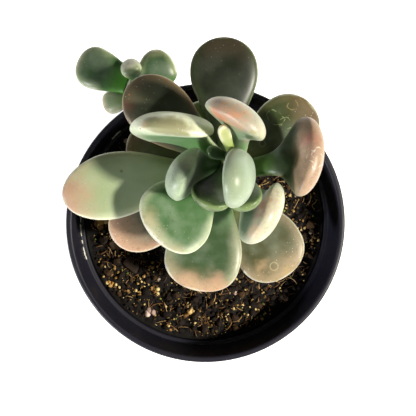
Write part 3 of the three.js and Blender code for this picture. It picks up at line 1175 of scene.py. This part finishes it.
    def build_fibres(self) -> Object:
        """Thin bent fibres lying on the soil: three-sided tubes along shallow arcs.

        Returns:
            The fibres as one object.
        """
        draw, count, sides = self.draw, self.fibre_count, 3
        places = self.spread(count, self.fibre_inset)
        length = skewed(draw, count, *self.fibre_length)
        bearing = 2 * np.pi * draw.random(count)
        bend = self.fibre_bend * (draw.random(count) - 0.5)
        rise = self.fibre_slope * (draw.random(count) - 0.35)
        t = np.linspace(-0.5, 0.5, self.fibre_stations)
        step = length[:, None] * t
        ends = places[:, None] + polar(bearing[:, None] + bend[:, None] * t, step)
        inside = np.all(np.linalg.norm(ends, axis=-1) < self.radius - 0.5, axis=1)
        middle = self.height(places) + self.relief(places) + self.fibre_rise
        z = middle[:, None] + step * np.sin(rise)[:, None] * 0.5 + self.fibre_arch * np.cos(np.pi * t)
        spine = lift(ends, z)[inside]
        radius = skewed(draw, count, *self.fibre_radius)[inside]
        tangent = unit(np.gradient(spine, axis=1))
        side = unit(np.cross(tangent, UP))
        taper = 1 - 0.75 * np.abs(2 * t) ** 3
        walls = tube(spine, radius[:, None] * taper, side, np.cross(side, tangent), sides)
        fibres = np.concatenate([spine[:, :1], walls.reshape(len(spine), -1, 3), spine[:, -1:]], axis=1)
        size = fibres.shape[1]
        faces = [repeat_faces(part, len(spine), size) for part in ring_faces(self.fibre_stations, sides)]
        tints = np.repeat(draw.random(len(spine)), size)
        return make_mesh("soil_fibres", fibres.reshape(-1, 3), faces, {"tint": tints})

    def build(self) -> dict[str, Object]:
        """Builds the bed and everything that lies on it.

        Returns:
            Each piece by the name of its finish.
        """
        draw = self.draw
        made = {"peat": self.build_bed(), "bark": self.build_chips(), "fibre": self.build_fibres()}
        for kind in self.litter:
            radii = skewed(draw, kind.count, *kind.radius)
            shades = skewed(draw, kind.count, *kind.shade) if kind.shades_first else None
            places = self.spread(kind.count, kind.inset)
            if shades is None:
                shades = skewed(draw, kind.count, *kind.shade)
            made[kind.finish] = self.bits(kind.name, places, radii, shades, kind.rounds)
        for key, heaps in self.heaps:
            parts = [(x, y) + wide * draw.normal(size=(count, 2)) for x, y, wide, count, _ in heaps]
            places = np.concatenate(parts)
            sizes = np.concatenate([np.full(count, radius) for *_, count, radius in heaps])
            sizes = sizes * skewed(draw, len(sizes), *self.heap_growth)
            inside = np.linalg.norm(places, axis=-1) < self.radius - self.heap_inset
            shades = draw.random(inside.sum())
            made[key] = self.bits(f"{key}_bits", places[inside], sizes[inside], shades, self.heap_rounds)
        return made

    def dress(self, made: dict[str, Object]) -> None:
        """Gives each piece its finish and its place in the frame; the bed stands for the solid soil.

        Args:
            made: each piece by the name of its finish.
        """
        finishes = {
            "peat": PEAT, "bark": BARK, "fibre": FIBRE, "crumb": CRUMB, "clod": CRUMB, "grit": GRIT,
            "moss": MOSS, "gold": GOLD, "pink": PINK,
        }
        for key, piece in made.items():
            finish = finishes[key].material(f"loose {key}")
            settle(piece, "soil", finish, node="soil" if key == "peat" else "")


# Stems

@dataclass(frozen=True)
class Stem:
    """A round stem through stations of x, y, height over the rim and radius."""

    name: str
    node: str
    stations: tuple[tuple[float, float, float, float], ...]
    rows: int = 60
    sides: int = 32
    scar_spacing: float = 4.0
    scar_depth: float = 0.05
    dome_rows: int = 6
    dome_turn: float = 0.47 * np.pi

    def centre(self, height: float) -> ndarray:
        """Middle of the stem at a height over the rim, in the frame; past the last station it runs on.

        Args:
            height: height over the rim.

        Returns:
            The place in the frame.
        """
        table = np.array(self.stations)
        x, y = (np.interp(height, table[:, 2], table[:, k]) for k in (0, 1))
        rise = (height - table[-1, 2]) / (table[-1, 2] - table[-2, 2])
        if rise > 0:
            x, y = table[-1, :2] + rise * (table[-1, :2] - table[-2, :2])
        return np.array([x, y, RIM_HEIGHT + height])

    def build(self) -> Object:
        """Carries a circle along a smooth path through the stations and closes it with a dome.

        The path is a cubic between stations whose slope at each is the mean of its neighbours' step.

        Returns:
            The stem.
        """
        table = np.array(self.stations) + [0, 0, RIM_HEIGHT, 0]
        slopes = np.gradient(table, axis=0)
        t = np.linspace(0, len(table) - 1, self.rows)
        low = np.minimum(t.astype(int), len(table) - 2)
        s = (t - low)[:, None]
        path = (
            (2 * s**3 - 3 * s**2 + 1) * table[low]
            + (s**3 - 2 * s**2 + s) * slopes[low]
            + (3 * s**2 - 2 * s**3) * table[low + 1]
            + (s**3 - s**2) * slopes[low + 1]
        )
        spine, radius = path[:, :3], path[:, 3]
        tangent = unit(np.gradient(spine, axis=0))
        run = np.concatenate([[0], np.cumsum(np.linalg.norm(np.diff(spine, axis=0), axis=1))])
        end = path[-1, :3] + path[-1, 3] * tangent[-1]
        radius = radius * (1 - self.scar_depth * np.cos(2 * np.pi * run / self.scar_spacing))
        dome = np.linspace(0, self.dome_turn, self.dome_rows + 1)[1:]
        spine = np.concatenate([spine, spine[-1] + radius[-1] * np.sin(dome)[:, None] * tangent[-1]])
        radius = np.concatenate([radius, radius[-1] * np.cos(dome)])
        tangent = np.concatenate([tangent, np.repeat(tangent[-1:], len(dome), axis=0)])
        side = unit(np.cross(EAST, tangent))
        walls = tube(spine, radius, side, np.cross(tangent, side), self.sides)
        points = np.concatenate([spine[:1], walls.reshape(-1, 3), [end]])
        return make_mesh(self.name, points, ring_faces(len(spine), self.sides))

    def dress(self, piece: Object) -> None:
        """Gives the stem its finish and its place in the frame."""
        settle(piece, "stem", StemBark().material(f"{self.name} skin"), node=self.node)


MAIN_STEM = Stem(
    "leaning_stem",
    "main_stem",
    ((2, 9, -34, 4.2), (3.5, 12, -14, 4.2), (5, 17, 0, 4.1), (6.5, 21, 16, 3.8), (7.5, 24, 34, 3.0)),
)
SHOOT_STEM = Stem(
    "side_shoot_stem",
    "shoot_stem",
    ((-9, 28, -30, 2.2), (-12, 33, -14, 2.3), (-17, 42, 0, 2.3), (-21.5, 47.5, 6, 2.3), (-26, 51, 10, 2.1)),
)


# Leaves

@dataclass(frozen=True)
class Leaf:
    """A fat egg-shaped leaf from its seat to its tip.

    The seat is a height over the rim on the main stem, with the leaf's bearing round it in degrees, or a
    point. The tip is x, y and height over the rim. Curl lifts the tip, swing bends the leaf sideways, facing
    is the bearing that the outer side looks to, and blunt squares the tip off. Widest and thickest are
    shares of the length.
    """

    node: str
    seat: float | tuple[float, float, float]
    tip: tuple[float, float, float]
    width: float
    thick: float
    bearing: float = 0.0
    curl: float = 0.0
    swing: float = 0.0
    facing: float | None = None
    blunt: float = 2.3
    widest: float = 0.68
    flare: float = 1.15
    thickest: float = 0.6
    neck_width: float = 7.0
    neck_thick: float = 4.5
    skin: LeafSkin = field(default_factory=LeafSkin)
    marks: tuple[Mark, ...] = ()
    rows: int = 80
    sides: int = 72

    seat_radius: float = 2.4
    thickness_blunt: float = 2.6
    fullness: float = 0.9
    upper_share: float = 0.38
    cup: float = 0.1
    row_bias: float = 1.7
    neck_hold: float = 9.0
    neck_end: float = 0.55

    def frame(self) -> tuple[ndarray, ndarray, ndarray, ndarray]:
        """Works out how the leaf stands.

        Returns:
            Seat, middle control point and tip of its bent middle line, and where its upper face looks.
        """
        rim = UP * RIM_HEIGHT
        if isinstance(self.seat, tuple):
            seat = np.array(self.seat) + rim
        else:
            seat = MAIN_STEM.centre(self.seat) + self.seat_radius * heading(self.bearing)
        tip = np.array(self.tip) + rim
        chord = tip - seat
        reach = math.hypot(chord[0], chord[1])
        facing = chord * FLAT / reach if self.facing is None else heading(self.facing)
        along = unit(chord)
        normal = UP * reach - facing * chord[2]
        normal = unit(normal - (normal @ along) * along)
        across = np.cross(normal, along)
        bend = (seat + tip) / 2 - 2 * self.curl * normal + 2 * self.swing * across
        return seat, bend, tip, normal

    def wide(self, along: ndarray) -> ndarray:
        """Width at each share of the length as a share of the greatest.

        It swells from the neck by an eased power up to the widest place, and then closes as
        sqrt(1 - past ** blunt), past being the share of the way from there to the tip.

        Args:
            along: shares of the length, 0 at the seat.

        Returns:
            One share of the width for each.
        """
        neck = self.neck_width / self.width
        past = np.clip((along - self.widest) / (1 - self.widest), 0, 1)
        swell = neck + (1 - neck) * ease(along / self.widest) ** self.flare
        return np.where(along <= self.widest, swell, np.sqrt(1 - past**self.blunt))

    def surface(self, along: ndarray, angle: ndarray) -> ndarray:
        """Places on the skin for each share of the length and each angle round the section.

        The middle line is a parabola. At each station the section is an ellipse, filled out by a power of
        its sine and cosine, flatter above than below and dished by a small cup. Its width and thickness
        swell from the neck and close in a blunt tip.

        Args:
            along: shares of the length, 0 at the seat.
            angle: angles round the section, 0 at one edge and a quarter turn at the upper face.

        Returns:
            Points, one row for each share and one column for each angle.
        """
        seat, bend, tip, normal = self.frame()
        u = along[:, None]
        line = (1 - u) ** 2 * seat + 2 * u * (1 - u) * bend + u**2 * tip
        tangent = unit((1 - u) * (bend - seat) + u * (tip - bend))
        face = unit(normal - (tangent @ normal)[:, None] * tangent)
        side = np.cross(face, tangent)
        wide = self.wide(along)
        neck = self.neck_thick / self.thick
        swell = ease(along / self.thickest)
        past = np.clip((along - self.thickest) / (1 - self.thickest), 0, 1)
        closing = np.sqrt(1 - past**self.thickness_blunt)
        deep = np.where(along <= self.thickest, neck + (1 - neck) * swell, closing)
        cup = self.cup * self.width / 2 * wide * swell
        c, s = (np.sign(turn) * np.abs(turn) ** self.fullness for turn in (np.cos(angle), np.sin(angle)))
        share = np.where(s > 0, self.upper_share, 1 - self.upper_share)
        over = self.thick * deep[:, None] * s * share + cup[:, None] * c**2
        beside = self.width / 2 * wide[:, None] * c
        return line[:, None] + beside[..., None] * side[:, None] + over[..., None] * face[:, None]

    def arrays(self) -> tuple[ndarray, list[ndarray], dict[str, ndarray]]:
        """Points, faces and attributes of the leaf.

        Along runs from 0 at the seat to 1 at the tip. Rise is the sine of the angle round the section, 1 on
        the upper face and -1 on the outer one. Margin is the distance in millimetres from the outline,
        the least of half the width * (1 - |cosine|) and length * (1 - along), held high near the neck.

        Returns:
            Points, faces and attributes.
        """
        along = 1 - (1 - np.arange(self.rows) / self.rows) ** self.row_bias
        angle = full_turn(self.sides)
        seat, _, tip, _ = self.frame()
        points = np.concatenate([[seat], self.surface(along, angle).reshape(-1, 3), [tip]])
        rise = np.broadcast_to(np.sin(angle), (self.rows, self.sides)).ravel()
        half = self.width / 2 * self.wide(along)[:, None] * (1 - np.abs(np.cos(angle)))
        half = half + self.neck_hold * (1 - ease(along / self.neck_end))[:, None]
        ahead = np.linalg.norm(tip - seat) * (1 - along)[:, None]
        attributes = {
            "along": np.concatenate([[0], np.repeat(along, self.sides), [1]]),
            "rise": np.concatenate([[0], rise, [0]]),
            "margin": np.concatenate([[self.neck_hold], np.minimum(half, ahead).ravel(), [0]]),
        }
        return points, ring_faces(self.rows, self.sides), attributes

    def build(self) -> Object:
        """Skins the leaf."""
        points, faces, attributes = self.arrays()
        return make_mesh(f"{self.node}_skin", points, faces, attributes)

    def dress(self, piece: Object) -> None:
        """Gives the leaf its finish, with its marks, and its place in the frame."""
        spots = (self.surface(np.array([mark.along]), np.array([mark.angle()])) for mark in self.marks)
        placed = tuple((mark, spot[0, 0]) for mark, spot in zip(self.marks, spots))
        settle(piece, "leaf", self.skin.material(f"{self.node} waxy skin", placed), node=self.node)


# In most skins the face's green is darkened as painted shade, for faces that look up, away from the low side
# light, or lie in other leaves' shadow; it is darkest for leaf_02, leaf_08, leaf_10, leaf_11, leaf_12,
# leaf_14, leaf_17, leaf_18 and the side shoot. Each skin's rim colour is painted rim light, its edge colour a
# painted highlight.
UNDERLEAF = LeafSkin("#5f6a40", "#668040", rim="#958a6c", tip="#8a7a5c", edge_highlight_strength=0.2)
ROSE = LeafSkin(
    "#26321b", "#3f5a2a", rim="#b08c74", tip="#cda88c", rim_light_width=5.5, tip_start=0.62, speckle=0.5
)
FRESH = LeafSkin("#7fa25a", "#7fa850", rim="#a3b680", tip="#8a9a66", edge_highlight_strength=0.3)
OLIVE = LeafSkin("#494c2c", "#6f7f46", rim="#a3957a", tip="#a38f6e", rim_light_width=6, tip_start=0.7, speckle=0.6)
DEEP_GREEN = LeafSkin("#37502c", "#4a7a38", rim="#a5a888", tip="#c8a284", rim_light_width=7, tip_start=0.74)
# leaf_06's skin: its pale base colour is painted light on the part near the seat, its dark face painted
# shade.
MOSSY = LeafSkin(
    "#3f4c28", "#a5b56e", rim="#7d7d52", tip="#7a654a", rim_light_width=4, tip_start=0.68, speckle=0.5
)
SAGE = LeafSkin("#9cac84", "#8aa566", rim="#c3c9a8", tip="#c09a84", rim_light_width=4, tip_start=0.74, freckle=0.2)
# leaf_08's skin is dark all over as painted shade, for a leaf that lies in the rosette's shadow.
DEEP_SHADE = LeafSkin(
    "#1b2415", "#2c3c1c", "#76836a", "#4c5a3a", "#453c2c", "#8f9a74",
    rim_light_width=4.5, rim_light_strength=0.6, edge_highlight_strength=0.4, bloom=0.05, speckle=0.15,
)
MINT = LeafSkin("#48713f", "#3f7030", rim="#c6cfb0", tip="#b8b08f", rim_light_width=5, tip_start=0.84, bloom=0.25)
TAN = LeafSkin(
    "#2a3a20", "#6a9a3f", "#958a6c", "#998e70", "#b3957e",
    rim_light_width=3, rim_light_strength=0.5, tip_start=0.68, tip_full=0.88, edge_highlight_strength=0,
)
EARTH = LeafSkin(
    "#485039", "#526238", "#8a7c60", "#806a4e", "#5c5440", "#b39a78",
    rim_light_width=4.5, rim_light_strength=0.75, edge_highlight_strength=0.35, bloom=0.05,
)
CREAM = LeafSkin(
    "#335a2c", "#5f8f48", "#d6dfc9", "#c9d0b4", "#c6bca4", rim_light_width=5, rim_light_strength=0.75,
    tip_start=0.8, tip_full=0.97, tip_strength=0.7, freckle=0.15, edge_highlight_strength=0,
)
PEACH = LeafSkin(
    "#7f9a76", "#6f9a5c", "#aeb39f", "#c9c2a8", "#b3a795",
    rim_light_width=5, rim_light_strength=0.6, tip_start=0.86, edge_highlight_strength=0,
)
MISTY = LeafSkin(
    "#2b4424", "#3f6630", "#a6b79e", "#90a688", "#a3b499",
    rim_light_width=4.5, rim_light_strength=0.7, tip_start=0.74, tip_full=0.92, bloom=0.1, edge_highlight_strength=0,
)
PALE = LeafSkin(
    "#869c84", "#7c9f72", "#94a68f", "#a3b39e", "#94a284",
    rim_light_width=4, bloom=0.35, freckle=0.12, edge_highlight_strength=0, roughness=0.36,
)
BAR = LeafSkin(
    "#6f9a60", "#5f9048", "#bcc39e", "#dfe4c9", "#837e52", rim_light_width=8, rim_light_strength=0.9,
    tip_start=0.92, tip_full=0.992, tip_strength=0.8, freckle=0.12, edge_highlight_strength=0,
)
# leaf_17's and leaf_18's skin is near-black green as painted shade, deep in the rosette.
HEART_SHADE = LeafSkin("#22331a", "#2f4a1f", "#5a7048", "#4a6338", "#3f5430", "#8fa56a", rim_light_width=2)
SHOOT = LeafSkin("#314d2a", "#4a8628", rim="#93a277", tip="#8f8f6a", rim_light_width=4, tip_start=0.8)
SHOOT_PALE = LeafSkin("#7f9468", "#6f9a4a", rim="#b3b795", tip="#b0a084", rim_light_width=4, tip_start=0.7)

ROSETTE = (
    Leaf("leaf_01", 6, (-28.8, 31.5, 9), 20, 8, 172, skin=UNDERLEAF),
    Leaf("leaf_02", 3, (-35, -4.5, 6), 22, 8, 214, 1, skin=ROSE, marks=(
        Mark(SPOT, 0.87, -0.56, 0.4, "#f0dfc8", 0.8),
        Mark(SPOT, 0.9, -0.4, 0.3, "#f0dfc8", 0.7),
    )),
    Leaf("leaf_03", 8, (-4, 45, 9), 18, 7, 118, skin=FRESH),
    Leaf("leaf_04", 3, (30, -19, 4), 26, 9, 300, 1, blunt=2.6, skin=OLIVE, marks=(
        Mark(RING, 0.86, -0.17, 1.5, "#cdbd96", 0.4),
        Mark(BLOT, 0.95, 0.05, 3.0, "#b39a66", 0.5),
        Mark(BLOT, 0.8, -0.45, 4.0, "#cfae88", 0.45),
    )),
    Leaf("leaf_05", 7, (-4.5, -24, 6), 28, 9, 254, 1, blunt=2.8, flare=0.9, skin=DEEP_GREEN, marks=(
        Mark(BLOT, 0.86, 0.5, 5.0, "#c99f80", 0.45),
        Mark(BLOT, 0.92, -0.2, 5.0, "#cfae8c", 0.4),
    )),
    Leaf("leaf_06", 7, (38, 43, 12), 23, 9, 42, 1, skin=MOSSY, marks=(
        Mark(ARC, 0.67, 0.41, 3.0, "#a9b586", 0.7),
        Mark(ARC, 0.7, 0.1, 2.2, "#a9b586", 0.6),
        Mark(RING, 0.41, 0.03, 1.1, "#a9b37c", 0.35),
        Mark(ARC, 0.86, 0.47, 1.8, "#b9a878", 0.5),
    )),
    Leaf("leaf_07", 10, (-51, 9.5, 17), 23.5, 9, 190, 2, -2.5, blunt=1.9, skin=SAGE, marks=(
        Mark(SPOT, 0.61, -0.34, 0.9, "#5f7346", 0.6),
        Mark(BLOT, 0.93, -0.45, 5.0, "#b08672", 0.5),
    )),
    Leaf("leaf_08", 12, (5, 67, 16), 24, 9.5, 75, 1, widest=0.72, flare=1.7, skin=DEEP_SHADE),
    Leaf("leaf_09", 17, (-19.3, -2.8, 26), 27, 9, 230, 2, blunt=2.8, skin=MINT, marks=(
        Mark(ARC, 0.62, 0.1, 5.0, "#4a6a3c", 0.45),
        Mark(BLOT, 0.9, -0.5, 4.5, "#c9b896", 0.4),
    )),
    Leaf(
        "leaf_10", 16, (34.2, 25.5, 36), 27.4, 9.2, 335, 8.4, 2, 343, widest=0.8, flare=3, thickest=0.76,
        skin=TAN, marks=(
            Mark(ARC, 0.995, -0.2, 3.2, "#e3dccb", 0.75, outside=True),
            Mark(ARC, 0.995, 0.1, 2.0, "#e3dccb", 0.7, outside=True),
            Mark(SPOT, 0.79, -0.17, 0.45, "#3a3420", 0.7),
            Mark(BLOT, 0.96, 0.45, 5.5, "#b87466", 0.6),
            Mark(BLOT, 0.92, 0.1, 4.0, "#dcc4b0", 0.5),
            Mark(BLOT, 0.85, -0.55, 5.0, "#4f4a38", 0.5),
        ),
    ),
    Leaf("leaf_11", 17, (-27.6, 49.5, 24), 21.4, 9, 145, 1, skin=EARTH, marks=(
        Mark(SPOT, 0.95, 0.41, 0.4, "#b98058", 0.6),
        Mark(SPOT, 0.93, 0.5, 0.3, "#b98058", 0.5),
        Mark(BLOT, 0.9, 0.7, 3.5, "#8a5f48", 0.5),
    )),
    Leaf(
        "leaf_12", 20, (18.2, 4.8, 34), 23.6, 8.8, 310, 8.8, -3, 341, widest=0.75, flare=2, thickest=0.76,
        skin=CREAM, marks=(
            Mark(BLOT, 0.89, 0.25, 7.0, "#9a5f4c", 0.85),
            # A cream-pink painted highlight low on the cap.
            Mark(BLOT, 0.94, -0.6, 4.0, "#ecc9a8", 0.7),
        ),
    ),
    Leaf(
        "leaf_13", 24, (5.3, 37.1, 54), 21.8, 8.1, 45, 4.3, 0.6, 51, widest=0.76, flare=3, thickest=0.76,
        skin=PEACH, marks=(
            Mark(BLOT, 0.9, 0.2, 9.5, "#dc9468", 0.9),
            Mark(BLOT, 0.93, 0.5, 4.0, "#cf7c66", 0.6),
            Mark(BLOT, 0.93, -0.9, 1.8, "#8f8a55", 0.6),
        ),
    ),
    Leaf(
        "leaf_14", 24, (-9.6, 16.8, 44), 18.8, 8.3, 190, 5.1, 2.5, 142, widest=0.53, thickest=0.7,
        skin=MISTY,
    ),
    Leaf("leaf_15", 30, (3.8, 13, 55), 18.6, 9, 335, 2, 1.8, 13, skin=PALE),
    Leaf("leaf_16", 22, (-14.8, 33.8, 42), 29, 8.2, 150, 5.7, 7, 24, thickest=0.76, skin=BAR, marks=(
        Mark(RING, 0.94, 0.94, 0.75, "#efe9d4", 0.85),
        Mark(SPOT, 0.94, 0.94, 0.35, "#4a4030", 0.8),
        Mark(BLOT, 0.96, 0.97, 2.2, "#c9ae88", 0.6, outside=True),
    )),
    Leaf("leaf_17", 27, (-2.5, 9, 38), 14, 6, 250, 2, facing=264, skin=HEART_SHADE),
    Leaf("leaf_18", 28, (12, 8, 38), 12, 6, 305, 2, skin=HEART_SHADE),
)

SIDE_SHOOT = (
    Leaf(
        "shoot_leaf_1", (-28.5, 52, 9), (-46.8, 59.5, 6), 15.3, 11, blunt=2, flare=0.8, neck_width=9.5,
        skin=SHOOT,
    ),
    Leaf("shoot_leaf_2", (-26, 53, 9.5), (-28, 57.8, 14.5), 7.4, 8, neck_width=4, skin=SHOOT),
    Leaf(
        "shoot_leaf_3", (-17.5, 47, 9), (-18.8, 63.3, 11), 14.2, 10, blunt=1.9, widest=0.45, neck_width=6,
        skin=SHOOT,
    ),
    Leaf("shoot_leaf_4", (-27, 47, 8), (-37.8, 43.9, 4), 8.4, 8, neck_width=5, skin=SHOOT_PALE),
    Leaf("shoot_leaf_5", (-24, 50, 9), (-14, 51, 9), 9, 7, neck_width=4, skin=SHOOT),
)


@dataclass(frozen=True)
class Crown:
    """The growing tip of the main stem: a round bud with four very young leaves, one piece.

    Young holds the bearing, tip, width and thickness of each leaf. The first leaf's skin is painted sunlit
    and the others' painted shaded.
    """

    bud_height: float = 37.0
    bud_radius: float = 3.2
    seat: float = 34.0
    young: tuple[tuple[float, tuple[float, float, float], float, float], ...] = (
        (110, (3, 34, 46.5), 4.2, 2.8),
        (165, (-1, 26.5, 41), 4.4, 3),
        (250, (6, 19, 44), 5, 3.4),
        (10, (9.5, 24, 43), 4.6, 3.2),
    )
    # The sunlit skin is painted light, the shaded one painted shade.
    sunlit: LeafSkin = LeafSkin("#a3ad6c", "#8fa552", "#b3b878", "#c3c490", "#b9b984", rim_light_width=2)
    shaded: LeafSkin = LeafSkin(
        "#22401a", "#305420", "#38582a", "#33522a", "#2f4a22", "#5a7a44", rim_light_width=1, bloom=0.05
    )

    def build(self) -> Object:
        """Joins the young leaves and the bud, ball = middle + radius * direction, into one mesh.

        Returns:
            The crown.
        """
        leaf = {"curl": 1, "neck_width": 3, "neck_thick": 2.2, "rows": 40, "sides": 36}
        leaves = [
            Leaf("young", self.seat, tip, width, thick, bearing, **leaf).arrays()
            for bearing, tip, width, thick in self.young
        ]
        ball, ball_faces = pebble(4)
        ball = MAIN_STEM.centre(self.bud_height) + self.bud_radius * ball
        points = [part for part, _, _ in leaves] + [ball]
        offsets = np.cumsum([0] + [len(part) for part in points[:-1]])
        faces = [part + start for (_, parts, _), start in zip(leaves, offsets) for part in parts]
        faces.append(ball_faces + offsets[-1])
        attributes = {
            key: np.concatenate([values[key] for _, _, values in leaves] + [np.ones(len(ball))])
            for key in leaves[0][2]
        }
        crown = make_mesh("young_crown", np.concatenate(points), faces, attributes)
        slots = np.ones(len(crown.data.polygons), np.int32)
        slots[: sum(len(part) for part in leaves[0][1])] = 0
        crown.data.polygons.foreach_set("material_index", slots)
        return crown

    def dress(self, piece: Object) -> None:
        """Gives the crown its finishes and its place in the frame."""
        sunlit = self.sunlit.material("sunlit young leaf skin")
        settle(piece, "young_leaf", sunlit, self.shaded.material("shaded young leaf skin"), node="crown")


# Studio

@dataclass(frozen=True)
class Lamp:
    """A square soft light: bearing and rise in degrees from the plant, distance and side in metres."""

    name: str
    bearing: float
    rise: float
    distance: float
    side: float
    watts: float
    colour: str

    def build(self, target: Vector) -> None:
        """Hangs the light and turns it to the target.

        Args:
            target: what it shines on, in metres.
        """
        lamp = bpy.data.lights.new(self.name, "AREA")
        lamp.size = self.side
        lamp.energy = self.watts
        lamp.color = srgb(self.colour)[:3]
        rise = math.radians(self.rise)
        away = Vector(lift(polar(math.radians(self.bearing), math.cos(rise)), math.sin(rise)))
        holder = bpy.data.objects.new(self.name, lamp)
        holder.location = target + self.distance * away
        holder.rotation_euler = (-away).to_track_quat("-Z", "Y").to_euler()
        bpy.context.scene.collection.objects.link(holder)


@dataclass(frozen=True)
class Studio:
    """Plain pale floor, soft lights and the camera that looks down on the plant.

    Eye and aim are in millimetres from the middle of the rim, and the floor's side is in metres.
    """

    eye: tuple[float, float, float] = (-13, 20, 300)
    aim: tuple[float, float, float] = (0.5, 6.1, 0)
    focal_share: float = 803 / 416
    clip: tuple[float, float] = (0.01, 20)
    floor_side: float = 6.0
    floor_colour: str = "#f4f4f2"
    floor_roughness: float = 0.9
    floor_glow: float = 0.9
    sky_colour: str = "#fdfdff"
    sky: float = 0.07
    lamps: tuple[Lamp, ...] = (
        Lamp("key light", -16, 43, 1.0, 0.12, 16, "#fff8ea"),
        Lamp("low left light", -137, 20, 1.0, 0.12, 9, "#fbfaff"),
    )

    def build(self) -> None:
        """Lays the floor, hangs the lights and sets up the camera."""
        scene = bpy.context.scene
        scene.view_settings.view_transform = "Standard"
        half = self.floor_side / 2 / MM
        corners = half * np.array([[-1, -1, 0], [1, -1, 0], [1, 1, 0], [-1, 1, 0]])
        floor = make_mesh("pale_floor", corners, [np.array([[0, 1, 2, 3]])])
        floor.data.materials.append(self.floor_material())
        scene.world = bpy.data.worlds.new("soft surround")
        scene.world.use_nodes = True
        surround = scene.world.node_tree.nodes["Background"].inputs
        surround["Color"].default_value = srgb(self.sky_colour)
        surround["Strength"].default_value = self.sky
        for lamp in self.lamps:
            lamp.build(Vector((0, 0, RIM_HEIGHT * MM)))
        self.build_camera()

    def floor_material(self) -> Material:
        """Matt pale acrylic lit softly from below, as on a light table.

        Returns:
            The material.
        """
        colour = srgb(self.floor_colour)
        return Nodes("pale lit acrylic").close({
            "Base Color": colour,
            "Roughness": self.floor_roughness,
            "Emission Color": colour,
            "Emission Strength": self.floor_glow,
        })

    def build_camera(self) -> None:
        """Sets the camera up with the picture's top towards +Y."""
        camera = bpy.data.cameras.new("picture camera")
        camera.lens = camera.sensor_width * self.focal_share
        camera.clip_start, camera.clip_end = self.clip
        holder = bpy.data.objects.new("picture camera", camera)
        lift_up = Vector((0, 0, RIM_HEIGHT))
        eye = (Vector(self.eye) + lift_up) * MM
        forward = ((Vector(self.aim) + lift_up) * MM - eye).normalized()
        right = forward.cross(Vector((0, 1, 0))).normalized()
        turn = Matrix((right, right.cross(forward), -forward)).transposed().to_4x4()
        holder.matrix_world = Matrix.Translation(eye) @ turn
        bpy.context.scene.collection.objects.link(holder)
        bpy.context.scene.camera = holder


def main() -> None:
    """Builds and dresses every piece, then the studio, and notes the sizes."""
    logging.basicConfig(level=logging.INFO, format="%(message)s")
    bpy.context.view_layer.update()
    pot = Pot()
    piece = pot.build()
    pot.dress(piece, pot.build_lime())
    log.info("pot: %d faces", len(piece.data.polygons))
    soil = Soil(pot)
    made = soil.build()
    soil.dress(made)
    for key, piece in made.items():
        log.info("soil %s: %d faces", key, len(piece.data.polygons))
    for part in (MAIN_STEM, SHOOT_STEM, *ROSETTE, *SIDE_SHOOT, Crown()):
        piece = part.build()
        part.dress(piece)
        log.info("%s: %d faces", piece.name, len(piece.data.polygons))
    Studio().build()


if __name__ == "__main__":
    main()
